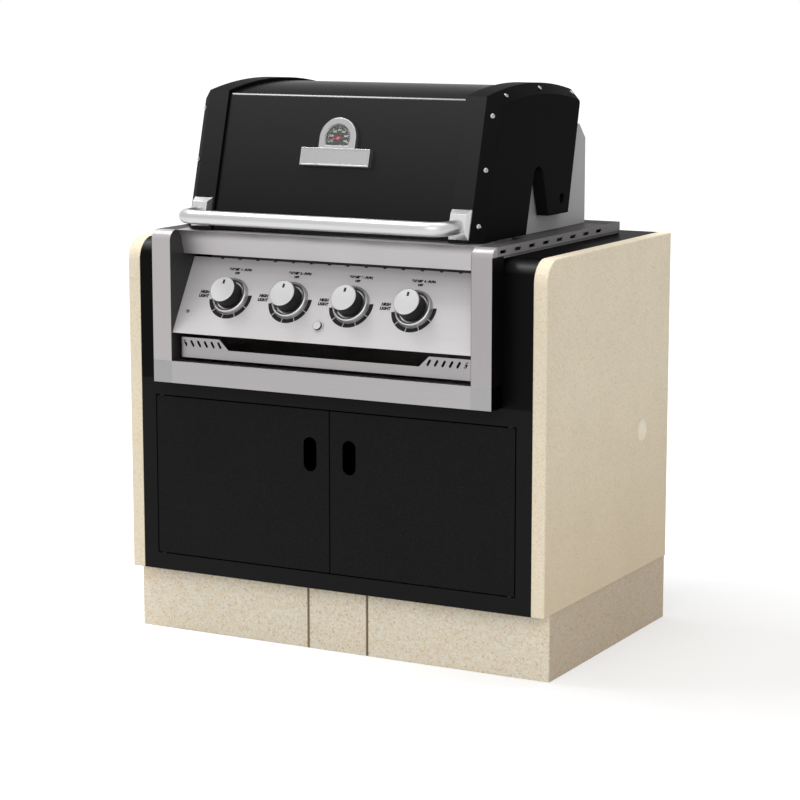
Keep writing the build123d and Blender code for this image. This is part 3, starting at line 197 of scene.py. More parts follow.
# long scratches left by the brushing belt, and a soft cloud over them
brushedLines, given, made = newGroup(
    "brushedLines",
    [("Vector", "Vector", None), ("Stretch", "Vector", (5.0, 700.0, 700.0))],
    [("Lines", "Float"), ("Cloud", "Float")],
)
tree = brushedLines
stretched = addVector(tree, "MULTIPLY", given["Vector"], given["Stretch"])
tree.links.new(addNoise(tree, stretched, scale=1.0, detail=4.0, roughness=0.65), made["Lines"])
tree.links.new(addNoise(tree, given["Vector"], scale=7.0, detail=3.0), made["Cloud"])

# small dimples of a baked coat, with a few bright flecks
fleckSpan = (0.8, 1.0)
coatPeel, given, made = newGroup(
    "coatPeel",
    [("Vector", "Vector", None), ("Scale", "Float", 900.0)],
    [("Height", "Float"), ("Fleck", "Float"), ("Cloud", "Float")],
)
tree = coatPeel
tree.links.new(addNoise(tree, given["Vector"], given["Scale"], roughness=0.55), made["Height"])
flecks = addNode(tree, "ShaderNodeTexVoronoi", Vector=given["Vector"], Scale=given["Scale"])
fleckParts = addNode(tree, "ShaderNodeSeparateColor", Color=flecks.outputs["Color"]).outputs
tree.links.new(addRange(tree, fleckParts["Red"], *fleckSpan), made["Fleck"])
tree.links.new(addNoise(tree, given["Vector"], scale=6.0, detail=3.0, roughness=0.55), made["Cloud"])

# rounded look for folded and cast edges, and a mask where they rub bright
edgeSettings = {"samples": 4, "turned": (0.03, 0.25), "patchScale": 140.0}
edgeRound, given, made = newGroup(
    "edgeRound",
    [("Vector", "Vector", None), ("Radius", "Float", 0.001)],
    [("Normal", "Vector"), ("Rub", "Float")],
)
tree = edgeRound
softEdge = addNode(tree, "ShaderNodeBevel", Radius=given["Radius"])
softEdge.samples = edgeSettings["samples"]
flatWay = tree.nodes.new("ShaderNodeNewGeometry")
tree.links.new(softEdge.outputs["Normal"], made["Normal"])
alike = addVector(tree, "DOT_PRODUCT", softEdge.outputs["Normal"], flatWay.outputs["Normal"])
turnedAway = addRange(tree, addMath(tree, "SUBTRACT", 1.0, alike), *edgeSettings["turned"])
patches = addNoise(tree, given["Vector"], edgeSettings["patchScale"], detail=3.0, roughness=0.6)
patches = fromNoise(tree, patches, span=patchSpan)
tree.links.new(addMath(tree, "MULTIPLY", turnedAway, patches), made["Rub"])
print("effect groups built")


def newMaterial(name):
    material = bpy.data.materials.new(name)
    material.use_nodes = True
    tree = material.node_tree
    tree.nodes.clear()
    output = tree.nodes.new("ShaderNodeOutputMaterial")
    shader = tree.nodes.new("ShaderNodeBsdfPrincipled")
    tree.links.new(shader.outputs["BSDF"], output.inputs["Surface"])
    place = tree.nodes.new("ShaderNodeTexCoord").outputs["Object"]
    return material, tree, shader, place


def bumpUp(tree, shader, height, strength, depth, normal):
    bump = addNode(tree, "ShaderNodeBump", Strength=strength, Distance=depth, Height=height, Normal=normal)
    tree.links.new(bump.outputs["Normal"], shader.inputs["Normal"])


# lays a colour over a tint by a share of a mask
def overlay(tree, mask, share, tint, colour):
    return addMix(tree, addMath(tree, "MULTIPLY", mask, share), tint, colour)


stoneSettings = {"edge": 0.003, "rub": 0.25, "sideways": (0.5, 0.9), "lowShadeLevels": (0.6, 0.12),
                 "heights": (0.3, 1.3), "rough": (0.97, 0.8), "gloss": 0.25, "depth": 0.0012}


def sandStone(name, look):
    material, tree, shader, place = newMaterial(name)
    grain = useGroup(tree, sandGrain, Vector=place, Coarse=look["coarse"], Fine=look["fine"],
                     Pale=look["pale"], Sand=look["sand"], Dark=look["dark"], Specks=look["specks"])
    edge = useGroup(tree, edgeRound, Vector=place, Radius=stoneSettings["edge"])
    spot = addParts(tree, place)
    way = faceWay(tree)
    tint = overlay(tree, edge["Rub"], stoneSettings["rub"], grain["Color"], look["pale"])
    if "joint" in look:  # painted shade: a darker band along the joints between the blocks
        across = addMath(tree, "ABSOLUTE", spot["X"])
        grime = addMath(tree, "COMPARE", across, look["joint"], look["jointWidth"] / 2)
        tint = addMix(tree, grime, tint, look["grime"])
    if "sideShade" in look:  # painted shade: the side away from the lamps is coloured darker
        sideShade = addRange(tree, way["X"], *stoneSettings["sideways"], 0.0, look["sideShade"])
        tint = addMix(tree, sideShade, tint, look["sideShadeTone"])
    if "lowShade" in look:  # painted shade: outer faces get darker towards the ground
        outer = addRange(tree, addMath(tree, "ABSOLUTE", way["X"]), *stoneSettings["sideways"])
        lowShadeMask = addRange(tree, spot["Z"], *stoneSettings["lowShadeLevels"], 0.0, look["lowShade"])
        tint = addMix(tree, addMath(tree, "MULTIPLY", outer, lowShadeMask), tint, look["dark"])
    tree.links.new(tint, shader.inputs["Base Color"])
    rough = addRange(tree, grain["Height"], *stoneSettings["heights"], *stoneSettings["rough"])
    tree.links.new(rough, shader.inputs["Roughness"])
    shader.inputs["Specular IOR Level"].default_value = stoneSettings["gloss"]
    bumpUp(tree, shader, grain["Height"], look["bump"], stoneSettings["depth"], edge["Normal"])
    return material


coatSettings = {"flatTop": (0.8, 0.95), "vary": 0.05, "shineLevels": (0.95, 1.22), "bend": (0.4, 0.55),
                "coatIndex": 1.73, "depth": 0.0004}


def bakedCoat(name, look):
    material, tree, shader, place = newMaterial(name)
    peel = useGroup(tree, coatPeel, Vector=place, Scale=look["scale"])
    edge = useGroup(tree, edgeRound, Vector=place, Radius=look["edge"])
    way = faceWay(tree)
    tint = addMix(tree, peel["Cloud"], look["deep"], look["tint"])
    tint = overlay(tree, peel["Fleck"], look["fleck"], tint, look["pale"])
    tint = overlay(tree, edge["Rub"], look["rub"], tint, look["pale"])
    if "topTint" in look:  # flat tops lie in the shade of the lid
        tint = addMix(tree, addRange(tree, way["Z"], *coatSettings["flatTop"]), tint, look["topTint"])
    tree.links.new(tint, shader.inputs["Base Color"])
    vary = look.get("vary", coatSettings["vary"])
    rough = fromNoise(tree, peel["Height"], look["rough"] - vary, look["rough"] + vary)
    tree.links.new(rough, shader.inputs["Roughness"])
    shader.inputs["Specular IOR Level"].default_value = look["gloss"]
    if "frontCoat" in look:  # a clear coat shines on handled fronts, not on dusty tops and sides
        front = addRange(tree, way["Y"], look["frontFrom"], look["frontTo"])
        level = addParts(tree, place)["Z"]
        shine = addRange(tree, level, *coatSettings["shineLevels"], *look["frontCoat"])
        if "bendCoat" in look:
            shine = addRange(tree, way["Z"], *coatSettings["bend"], shine, look["bendCoat"])
        tree.links.new(addMath(tree, "MULTIPLY", front, shine), shader.inputs["Coat Weight"])
        shader.inputs["Coat Roughness"].default_value = look["coatRough"]
        shader.inputs["Coat IOR"].default_value = coatSettings["coatIndex"]
    bumpUp(tree, shader, peel["Height"], look["bump"], coatSettings["depth"], edge["Normal"])
    return material


# the black and dark tones paint the black covers mirrored in the sides of the columns
metalSettings = {"rub": 0.3, "mirrorBlack": grey(14), "railFoot": 0.906, "dark": tone(64, 63, 63),
                 "metal": 1.0, "gloss": 0.5, "lineShare": 0.6, "cloudShare": 0.4,
                 "vary": 0.05, "depth": 0.0002}


# mask of the sides past a distance from the middle
def sideMask(tree, spot, reach):
    return addMath(tree, "GREATER_THAN", addMath(tree, "ABSOLUTE", spot["X"]), reach)


def brushedMetal(name, look):
    material, tree, shader, place = newMaterial(name)
    brush = useGroup(tree, brushedLines, Vector=place, Stretch=look["stretch"])
    edge = useGroup(tree, edgeRound, Vector=place, Radius=look["edge"])
    tint = addMix(tree, fromNoise(tree, brush["Lines"]), look["deep"], look["tint"])
    tint = overlay(tree, edge["Rub"], metalSettings["rub"], tint, look["pale"])
    if "mirrorBlackFrom" in look:  # painted reflection: outer sides are coloured black below the foot of the side rail, where the polished steel mirrors the black covers
        spot = addParts(tree, place)
        below = addMath(tree, "LESS_THAN", spot["Z"], metalSettings["railFoot"])
        outer = sideMask(tree, spot, look["mirrorBlackFrom"])
        tint = addMix(tree, addMath(tree, "MULTIPLY", outer, below), tint, metalSettings["mirrorBlack"])
        if "mirrorDarkTo" in look:  # painted reflection: inner sides are coloured dark, where the polished steel mirrors the black covers
            tint = addMix(tree, sideMask(tree, spot, look["mirrorDarkTo"]), metalSettings["dark"], tint)
    tree.links.new(tint, shader.inputs["Base Color"])
    shader.inputs["Metallic"].default_value = look.get("metal", metalSettings["metal"])
    shader.inputs["Specular IOR Level"].default_value = look.get("gloss", metalSettings["gloss"])
    streaks = addMath(tree, "ADD", addMath(tree, "MULTIPLY", brush["Lines"], metalSettings["lineShare"]),
                      addMath(tree, "MULTIPLY", brush["Cloud"], metalSettings["cloudShare"]))
    vary = metalSettings["vary"]
    rough = fromNoise(tree, streaks, look["rough"] - vary, look["rough"] + vary)
    tree.links.new(rough, shader.inputs["Roughness"])
    bumpUp(tree, shader, brush["Lines"], look["bump"], metalSettings["depth"], edge["Normal"])
    return material


plasticSettings = {"rub": 0.2, "vary": 0.06, "grainScale": 1400.0, "depth": 0.0003}


def mouldedPlastic(name, look):
    material, tree, shader, place = newMaterial(name)
    mottle = addNoise(tree, place, look["scale"], detail=3.0, roughness=0.6)
    edge = useGroup(tree, edgeRound, Vector=place, Radius=look["edge"])
    tint = addMix(tree, fromNoise(tree, mottle, span=patchSpan), look["deep"], look["tint"])
    tint = overlay(tree, edge["Rub"], plasticSettings["rub"], tint, look["pale"])
    tree.links.new(tint, shader.inputs["Base Color"])
    vary = plasticSettings["vary"]
    rough = fromNoise(tree, mottle, look["rough"] - vary, look["rough"] + vary)
    tree.links.new(rough, shader.inputs["Roughness"])
    shader.inputs["Specular IOR Level"].default_value = look["gloss"]
    grain = addNoise(tree, place, plasticSettings["grainScale"])
    bumpUp(tree, shader, grain, look["bump"], plasticSettings["depth"], edge["Normal"])
    return material


def paint(material, *names):
    for name in names:
        slots = nodes[name].data.materials
        slots.clear()
        slots.append(material)


# masonry
slabStone = sandStone("slabStone", {
    "pale": tone(250, 241, 220), "sand": tone(243, 225, 194), "dark": tone(206, 176, 132),
    "coarse": 360.0, "fine": 900.0, "specks": 0.34, "bump": 0.35, "lowShade": 0.34})
plinthStone = sandStone("plinthStone", {
    "pale": tone(255, 254, 243), "sand": tone(244, 219, 181), "dark": tone(198, 171, 125),
    "coarse": 250.0, "fine": 520.0, "specks": 0.45, "bump": 1.0,
    "joint": 0.0745, "jointWidth": 0.0062, "grime": tone(162, 144, 116),
    "sideShade": 0.5, "sideShadeTone": tone(174, 150, 122)})
paint(slabStone, "side_slab_left", "side_slab_right")
paint(plinthStone, "plinth_left", "plinth_centre", "plinth_right")
paint(mouldedPlastic("plugPlastic", {
    "tint": tone(255, 247, 230), "deep": tone(250, 233, 206), "pale": tone(255, 250, 240),
    "scale": 42.0, "rough": 0.5, "gloss": 0.35, "bump": 0.1, "edge": 0.0008}), "hose_plug")

# black cabinet
frameCoat = bakedCoat("frameCoat", {
    "tint": grey(20), "deep": grey(16), "pale": grey(60), "fleck": 0.08, "rub": 0.1,
    "scale": 900.0, "rough": 0.55, "gloss": 0.09, "bump": 0.2, "edge": 0.0009})
doorCoat = bakedCoat("doorCoat", {
    "tint": grey(23), "deep": grey(19), "pale": grey(66), "fleck": 0.2, "rub": 0.14,
    "scale": 700.0, "rough": 0.5, "gloss": 0.06, "bump": 0.3, "edge": 0.0009})
coverCoat = bakedCoat("coverCoat", {
    "tint": grey(8), "deep": grey(6), "pale": grey(40), "fleck": 0.05, "rub": 0.06,
    "scale": 900.0, "rough": 0.36, "gloss": 0.004, "bump": 0.1, "edge": 0.0009,
    "frontCoat": (0.06, 0.06), "bendCoat": 0.3, "coatRough": 0.36, "frontFrom": -0.1, "frontTo": -0.5})
paint(frameCoat, "cabinet_frame", "cabinet_floor", "cabinet_back")
paint(coverCoat, "top_cover_left", "top_cover_right")
paint(doorCoat, "door_left", "door_right")
blackPlastic = mouldedPlastic("blackPlastic", {
    "tint": tone(26, 26, 27), "deep": tone(18, 18, 19), "pale": grey(60),
    "scale": 120.0, "rough": 0.5, "gloss": 0.25, "bump": 0.12, "edge": 0.0005})
paint(blackPlastic, "door_catches")
pinLook = {"stretch": (900.0, 900.0, 40.0), "bump": 0.1, "edge": 0.0004}
pinSteel = brushedMetal("pinSteel", {
    **pinLook, "tint": tone(190, 188, 184), "deep": tone(150, 148, 146), "pale": tone(225, 224, 222),
    "rough": 0.3})
pinBlack = brushedMetal("pinBlack", {
    **pinLook, "tint": tone(44, 43, 43), "deep": grey(30), "pale": grey(90), "rough": 0.42})
paint(pinBlack, "door_pivots", "hinge_pins")

# stainless sheet of the grill head, brushed along each piece
steelLook = {"tint": tone(172, 169, 170), "deep": tone(167, 164, 165), "pale": tone(215, 213, 213),
             "rough": 0.32, "bump": 0.05, "edge": 0.0009}
acrossLook = {**steelLook, "stretch": (5.0, 800.0, 800.0)}
uprightLook = {**steelLook, "stretch": (800.0, 800.0, 5.0),
               "mirrorBlackFrom": 0.4174, "mirrorDarkTo": 0.3702, "metal": 0.35, "gloss": 0.04}
acrossSteel = brushedMetal("acrossSteel", {
    **acrossLook, "tint": tone(163, 160, 161), "deep": tone(158, 155, 156), "edge": 0.0004})
shadedSteel = brushedMetal("shadedSteel", {
    **acrossLook, "tint": tone(155, 152, 153), "deep": tone(150, 147, 148), "edge": 0.0004})
fasciaSteel = brushedMetal("fasciaSteel", {
    **acrossLook, "tint": tone(180, 177, 178), "deep": tone(175, 172, 173), "rough": 0.5})
panelSteel = brushedMetal("panelSteel", {
    **acrossLook, "tint": tone(209, 206, 207), "deep": tone(204, 201, 202), "rough": 0.42, "metal": 0.25})
# painted light and shade: both columns are the same steel, the left one, on the lamp side, tinted lighter
# than the right
leftLitSteel = brushedMetal("leftLitSteel", {
    **uprightLook, "tint": tone(186, 182, 182), "deep": tone(181, 177, 177)})
rightShadedSteel = brushedMetal("rightShadedSteel", {
    **uprightLook, "tint": tone(173, 169, 170), "deep": tone(168, 164, 165)})
jacketSteel = brushedMetal("jacketSteel", {**steelLook, "stretch": (700.0, 5.0, 700.0)})
railGrey = bakedCoat("railGrey", {
    "tint": tone(140, 138, 138), "deep": tone(134, 132, 132), "pale": tone(180, 178, 178),
    "fleck": 0.05, "rub": 0.15, "scale": 700.0, "rough": 0.45, "gloss": 0.02, "bump": 0.08, "edge": 0.0009,
    "topTint": tone(78, 77, 77)})
wingGrey = bakedCoat("wingGrey", {
    "tint": tone(179, 177, 178), "deep": tone(173, 171, 172), "pale": tone(206, 204, 204),
    "fleck": 0.05, "rub": 0.2, "scale": 700.0, "rough": 0.45, "gloss": 0.12, "bump": 0.08, "edge": 0.0009})
paint(acrossSteel, "lower_rail")
paint(shadedSteel, "tray_front")
paint(fasciaSteel, "fascia")
paint(leftLitSteel, "column_left")
paint(rightShadedSteel, "column_right")
paint(panelSteel, "control_panel")
paint(railGrey, "side_rail_left", "side_rail_right", "rear_rail")
paint(jacketSteel, "head_jacket", "tray_runners")
paint(wingGrey, "hinge_plate_left", "hinge_plate_right")
paint(brushedMetal("capGrey", {
    "tint": grey(154), "deep": grey(150), "pale": tone(190, 191, 190), "mirrorBlackFrom": uprightLook["mirrorBlackFrom"],
    "stretch": (300.0, 300.0, 300.0), "rough": 0.42, "bump": 0.05, "edge": 0.0012}), "corner_caps")

# inside the grill head
castAluminium = bakedCoat("castAluminium", {
    "tint": tone(88, 86, 84), "deep": tone(68, 66, 64), "pale": tone(160, 158, 154), "fleck": 0.3, "rub": 0.3,
    "scale": 420.0, "rough": 0.6, "gloss": 0.4, "bump": 0.5, "edge": 0.002})
castIron = bakedCoat("castIron", {
    "tint": tone(44, 42, 41), "deep": tone(28, 27, 26), "pale": tone(84, 80, 76), "fleck": 0.2, "rub": 0.35,
    "scale": 520.0, "rough": 0.62, "gloss": 0.35, "bump": 0.6, "edge": 0.0012})
burnerSteel = brushedMetal("burnerSteel", {
    "tint": tone(186, 180, 170), "deep": tone(148, 140, 128), "pale": tone(220, 216, 210),
    "stretch": (600.0, 8.0, 600.0), "rough": 0.34, "bump": 0.12, "edge": 0.0008})
traySteel = brushedMetal("traySteel", {
    "tint": tone(190, 188, 184), "deep": tone(165, 163, 160), "pale": tone(222, 221, 219),
    "stretch": (6.0, 500.0, 500.0), "rough": 0.3, "bump": 0.1, "edge": 0.0008})
paint(castAluminium, "firebox")
paint(castIron, "cooking_grid_left", "cooking_grid_right")
paint(burnerSteel, "burners", "heat_plates")
paint(traySteel, "drip_tray")
paint(mouldedPlastic("whiteCeramic", {
    "tint": tone(236, 234, 228), "deep": tone(224, 221, 213), "pale": tone(246, 245, 242),
    "scale": 300.0, "rough": 0.3, "gloss": 0.5, "bump": 0.05, "edge": 0.0004}), "spark_electrodes")
paint(brushedMetal("valveBrass", {
    "tint": tone(205, 172, 106), "deep": tone(176, 142, 82), "pale": tone(232, 208, 150),
    "stretch": (300.0, 300.0, 300.0), "rough": 0.34, "bump": 0.1, "edge": 0.0008}), "gas_valves")
paint(brushedMetal("tubeZinc", {
    "tint": tone(176, 178, 180), "deep": tone(150, 152, 155), "pale": tone(212, 213, 214),
    "stretch": (8.0, 420.0, 420.0), "rough": 0.42, "bump": 0.15, "edge": 0.0008}), "gas_manifold")
chromeLook = {"tint": tone(226, 226, 227), "deep": tone(214, 214, 215), "pale": grey(246),
              "stretch": (260.0, 260.0, 260.0), "rough": 0.16, "bump": 0.04, "edge": 0.0008}
paint(brushedMetal("brightChrome", chromeLook), "warming_rack")
paint(pinSteel, *[f"knob_plunger_{number}" for number in knobNumbers])

# lid
hoodEnamel = bakedCoat("hoodEnamel", {
    "tint": grey(15), "deep": grey(13), "pale": grey(60), "fleck": 0.0, "rub": 0.0, "vary": 0.01,
    "scale": 220.0, "rough": 0.2, "gloss": 0.0016, "bump": 0.0, "edge": 0.0009,
    "frontCoat": (0.145, 0.403), "bendCoat": 1.0, "coatRough": 0.28, "frontFrom": -0.32, "frontTo": -0.64})
capBlack = bakedCoat("capBlack", {
    "tint": grey(14), "deep": grey(11), "pale": grey(50), "fleck": 0.05, "rub": 0.06,
    "scale": 700.0, "rough": 0.45, "gloss": 0.006, "bump": 0.15, "edge": 0.004,
    "frontCoat": (0.157, 0.336), "coatRough": 0.45, "frontFrom": -0.62, "frontTo": -0.92})
handleSteel = brushedMetal("handleSteel", {
    **chromeLook, "tint": tone(196, 196, 197), "deep": tone(188, 188, 189),
    "stretch": (6.0, 500.0, 500.0), "rough": 0.36})
bracketSatin = brushedMetal("bracketSatin", {
    **chromeLook, "tint": tone(205, 205, 206), "deep": tone(198, 198, 199), "rough": 0.34})
gaugeGrey = brushedMetal("gaugeGrey", {
    "tint": grey(176), "deep": grey(168), "pale": grey(236),
    "stretch": (320.0, 320.0, 320.0), "rough": 0.4, "bump": 0.06, "edge": 0.0014})
paint(hoodEnamel, "hood")
paint(capBlack, "end_cap_left", "end_cap_right")
paint(handleSteel, "handle_bar")
paint(bracketSatin, "handle_brackets")
paint(gaugeGrey, "gauge_housing")
paint(mouldedPlastic("needleRed", {
    "tint": tone(216, 48, 40), "deep": tone(198, 38, 32), "pale": tone(232, 90, 80),
    "scale": 500.0, "rough": 0.4, "gloss": 0.4, "bump": 0.03, "edge": 0.0002}), "gauge_needle")


# clear lens that lets lamp light through to the dial
def clearLens(look):
    material, tree, shader, place = newMaterial("lensGlass")
    haze = addNoise(tree, place, look["hazeScale"], detail=3.0)
    tree.links.new(fromNoise(tree, haze, *look["rough"]), shader.inputs["Roughness"])
    shader.inputs["Base Color"].default_value = look["tint"]
    shader.inputs["Transmission Weight"].default_value = 1.0
    shader.inputs["IOR"].default_value = look["index"]
    output = next(node for node in tree.nodes if node.type == "OUTPUT_MATERIAL")
    shadowRay = tree.nodes.new("ShaderNodeLightPath").outputs["Is Shadow Ray"]
    clear = tree.nodes.new("ShaderNodeBsdfTransparent")
    choice = addNode(tree, "ShaderNodeMixShader", Fac=shadowRay)
    tree.links.new(shader.outputs["BSDF"], choice.inputs[1])
    tree.links.new(clear.outputs["BSDF"], choice.inputs[2])
    tree.links.new(choice.outputs["Shader"], output.inputs["Surface"])
    return material


paint(clearLens({"tint": tone(250, 252, 251), "index": 1.46, "hazeScale": 180.0, "rough": (0.01, 0.05)}),
      "gauge_lens")
print("cad nodes painted")


# upward and outward ways of a face that leans back by some degrees
def leanWays(degrees):
    lean = radians(degrees)
    return Vector((0, sin(lean), cos(lean))), Vector((0, -cos(lean), sin(lean)))


# matrix of a spot on such a face: x across, y up the slope, z out of it
def faceSpot(origin, upWay, outWay, across, up, out):
    spot = origin + Vector((across, 0, 0)) + upWay * up + outWay * out
    turn = Matrix((Vector((1, 0, 0)), upWay, outWay)).transposed()
    return Matrix.Translation(spot) @ turn.to_4x4()


# sloping control panel, placed by the foot of its slope
panelSettings = {"foot": Vector((0, -0.3248, 0.70954)), "lean": 30.6, "knobRise": 0.084,
                 "knobPlaces": (-0.2466, -0.0946, 0.0574, 0.2094)}
panelUp, panelOut = leanWays(panelSettings["lean"])


def panelSpot(across, up, out=0.0):
    return faceSpot(panelSettings["foot"], panelUp, panelOut, across, up, out)


# knobs: silver face with a dark pointer on a black grip
def knobFinish(look):
    material, tree, shader, place = newMaterial("knobFinish")
    offset = addVector(tree, "SUBTRACT", place, panelSettings["foot"])
    height = addVector(tree, "DOT_PRODUCT", offset, panelOut)
    slope = addVector(tree, "DOT_PRODUCT", offset, panelUp)
    up = addMath(tree, "SUBTRACT", slope, panelSettings["knobRise"])
    # distance across from the nearest knob's middle
    middle = panelSettings["knobPlaces"][2]
    halfPitch = (middle - panelSettings["knobPlaces"][1]) / 2
    wrapped = addMath(tree, "WRAP", addParts(tree, place)["X"], middle + halfPitch, middle - halfPitch)
    across = addMath(tree, "SUBTRACT", wrapped, middle)
    face = addMath(tree, "GREATER_THAN", height, look["faceFrom"])
    pointer = addMath(tree, "LESS_THAN", addMath(tree, "ABSOLUTE", across), look["pointerHalf"])
    pointer = addMath(tree, "MULTIPLY", pointer, addMath(tree, "GREATER_THAN", up, look["pointerFrom"]))
    pointer = addMath(tree, "MULTIPLY", pointer, addMath(tree, "LESS_THAN", up, look["pointerTo"]))
    silver = addMath(tree, "MULTIPLY", face, addMath(tree, "SUBTRACT", 1.0, pointer))
    # turning marks run in rings on the face
    squares = [addMath(tree, "POWER", part, 2.0) for part in (across, up)]
    radius = addMath(tree, "SQRT", addMath(tree, "ADD", *squares))
    ringPlace = addNode(tree, "ShaderNodeCombineXYZ", X=addMath(tree, "MULTIPLY", radius, look["ringScale"]))
    rings = addNoise(tree, ringPlace.outputs["Vector"], scale=1.0, detail=3.0)
    silverTint = addMix(tree, rings, look["silverDeep"], look["silver"])
    peel = useGroup(tree, coatPeel, Vector=place, Scale=look["peelScale"])
    gripTint = addMix(tree, peel["Height"], look["gripDeep"], look["grip"])
    tree.links.new(addMix(tree, silver, gripTint, silverTint), shader.inputs["Base Color"])
    tree.links.new(addMath(tree, "MULTIPLY", silver, look["metal"]), shader.inputs["Metallic"])
    gripRough = addMath(tree, "MULTIPLY", addMath(tree, "SUBTRACT", 1.0, silver), look["gripRougher"])
    rough = addMath(tree, "ADD", fromNoise(tree, rings, *look["rough"]), gripRough)
    tree.links.new(rough, shader.inputs["Roughness"])
    shader.inputs["Specular IOR Level"].default_value = look["gloss"]
    edge = useGroup(tree, edgeRound, Vector=place, Radius=look["edge"])
    height = addMath(tree, "ADD", rings, peel["Height"])
    bumpUp(tree, shader, height, look["bump"], look["depth"], edge["Normal"])
    return material


knobMaterial = knobFinish({
    "faceFrom": 0.0404, "pointerHalf": 0.0027, "pointerFrom": 0.0122, "pointerTo": 0.0218,
    "silver": tone(203, 204, 203), "silverDeep": tone(192, 193, 192), "grip": grey(20), "gripDeep": grey(12),
    "ringScale": 1500.0, "peelScale": 1100.0, "metal": 0.75, "rough": (0.36, 0.46), "gripRougher": 0.08,
    "gloss": 0.3, "edge": 0.0008, "bump": 0.08, "depth": 0.0002})
paint(knobMaterial, *[f"knob_{number}" for number in knobNumbers])
bezelSteel = brushedMetal("bezelSteel", {
    **chromeLook, "tint": tone(198, 197, 197), "deep": tone(190, 189, 189), "rough": 0.38})
paint(bezelSteel, "knob_bezels")
paint(panelSteel, "igniter_sleeve")


# igniter button: pale face on a black push rod
def buttonFinish(look):
    material, tree, shader, place = newMaterial("buttonFinish")
    offset = addVector(tree, "SUBTRACT", place, panelSettings["foot"])
    height = addVector(tree, "DOT_PRODUCT", offset, panelOut)
    mottle = addNoise(tree, place, look["scale"], detail=3.0, roughness=0.6)
    face = addRange(tree, height, look["faceFrom"], look["faceFrom"] + look["faceBlend"])
    paleTint = addMix(tree, mottle, look["faceDeep"], look["face"])
    darkTint = addMix(tree, mottle, look["rodDeep"], look["rod"])
    tree.links.new(addMix(tree, face, darkTint, paleTint), shader.inputs["Base Color"])
    tree.links.new(addMath(tree, "MULTIPLY", face, look["metal"]), shader.inputs["Metallic"])
    tree.links.new(fromNoise(tree, mottle, *look["rough"]), shader.inputs["Roughness"])
    shader.inputs["Specular IOR Level"].default_value = look["gloss"]
    edge = useGroup(tree, edgeRound, Vector=place, Radius=look["edge"])
    bumpUp(tree, shader, mottle, look["bump"], look["depth"], edge["Normal"])
    return material


paint(buttonFinish({
    "faceFrom": 0.0068, "faceBlend": 0.0003, "face": tone(206, 204, 204), "faceDeep": tone(198, 196, 196),
    "rod": grey(24), "rodDeep": grey(14), "scale": 260.0, "metal": 0.7, "rough": (0.34, 0.44),
    "gloss": 0.2, "edge": 0.0008, "bump": 0.04, "depth": 0.0002}), "igniter_button")
print("controls painted")


def addPiece(name, mesh, material, bodyName):
    mesh.normal_update()
    data = bpy.data.meshes.new(name)
    mesh.to_mesh(data)
    mesh.free()
    data.materials.append(material)
    piece = bpy.data.objects.new(name, data)
    scene.collection.objects.link(piece)
    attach(piece, bodyName)


def textShape(words, size, weight):
    curve = bpy.data.curves.new("words", "FONT")
    curve.body = words
    curve.size = size
    curve.offset = weight
    curve.align_x = "CENTER"
    curve.align_y = "CENTER"
    holder = bpy.data.objects.new("words", curve)
    scene.collection.objects.link(holder)
    bpy.context.view_layer.update()
    shape = bpy.data.meshes.new_from_object(holder.evaluated_get(bpy.context.evaluated_depsgraph_get()))
    bpy.data.objects.remove(holder)
    bpy.data.curves.remove(curve)
    return shape


# merges a finished part into a piece, at its place
def addPart(mesh, part, matrix):
    bmesh.ops.transform(part, matrix=matrix, verts=part.verts[:])
    shape = bpy.data.meshes.new("part")
    part.to_mesh(shape)
    part.free()
    mesh.from_mesh(shape)
    bpy.data.meshes.remove(shape)


def addWords(mesh, words, size, matrix, weight=0.0):
    shape = textShape(words, size, weight)
    shape.transform(matrix)
    mesh.from_mesh(shape)
    bpy.data.meshes.remove(shape)


blockBevel = 0.3  # share of a block's least size


def addBlock(mesh, size, matrix):
    block = bmesh.new()
    bmesh.ops.create_cube(block, size=1.0)
    bmesh.ops.scale(block, vec=size, verts=block.verts[:])
    bmesh.ops.bevel(
        block, geom=block.edges[:], offset=min(size) * blockBevel, segments=1, profile=0.5, affect="EDGES",
        material=-1)
    addPart(mesh, block, matrix)


# thickens a flat face upward, and returns its top
def raiseFace(mesh, height):
    grown = bmesh.ops.extrude_face_region(mesh, geom=mesh.faces[:])["geom"]
    lifted = [item for item in grown if isinstance(item, bmesh.types.BMVert)]
    bmesh.ops.translate(mesh, vec=(0, 0, height), verts=lifted)
    return next(item for item in grown if isinstance(item, bmesh.types.BMFace))


# black scale bands and words printed on the panel
printSettings = {"inner": 0.0434, "outer": 0.0530, "from": 190.0, "to": 367.0, "parts": 5, "steps": 10,
                 "gap": 1.8, "thick": 0.00012, "lift": 0.0002, "weight": 0.0007,
                 "nameUp": 0.0650, "nameShift": 0.006, "nameSize": 0.0072, "offUp": 0.0560, "offSize": 0.0066,
                 "sideShift": -0.0690, "sideUp": 0.0020, "sideSize": 0.0090, "rowPitch": 1.05}
printMesh = bmesh.new()
partTurn = (printSettings["to"] - printSettings["from"]) / printSettings["parts"]
knobUp = panelSettings["knobRise"]


def printBand(knobPlace, part):
    first = radians(printSettings["from"] + part * partTurn + printSettings["gap"] / 2)
    band = bmesh.new()
    reaches = (printSettings["inner"], printSettings["outer"])
    ends = [band.verts.new((reach * cos(first), reach * sin(first), 0)) for reach in reaches]
    bmesh.ops.spin(
        band, geom=[*ends, band.edges.new(ends)], cent=(0, 0, 0), axis=(0, 0, 1),
        angle=radians(partTurn - printSettings["gap"]), steps=printSettings["steps"])
    bmesh.ops.solidify(band, geom=band.faces[:], thickness=printSettings["thick"])
    bmesh.ops.recalc_face_normals(band, faces=band.faces[:])
    addPart(printMesh, band, panelSpot(knobPlace, knobUp, printSettings["lift"]))


def printWords(words, size, across, up):
    addWords(printMesh, words, size, panelSpot(across, up, printSettings["lift"]), printSettings["weight"])


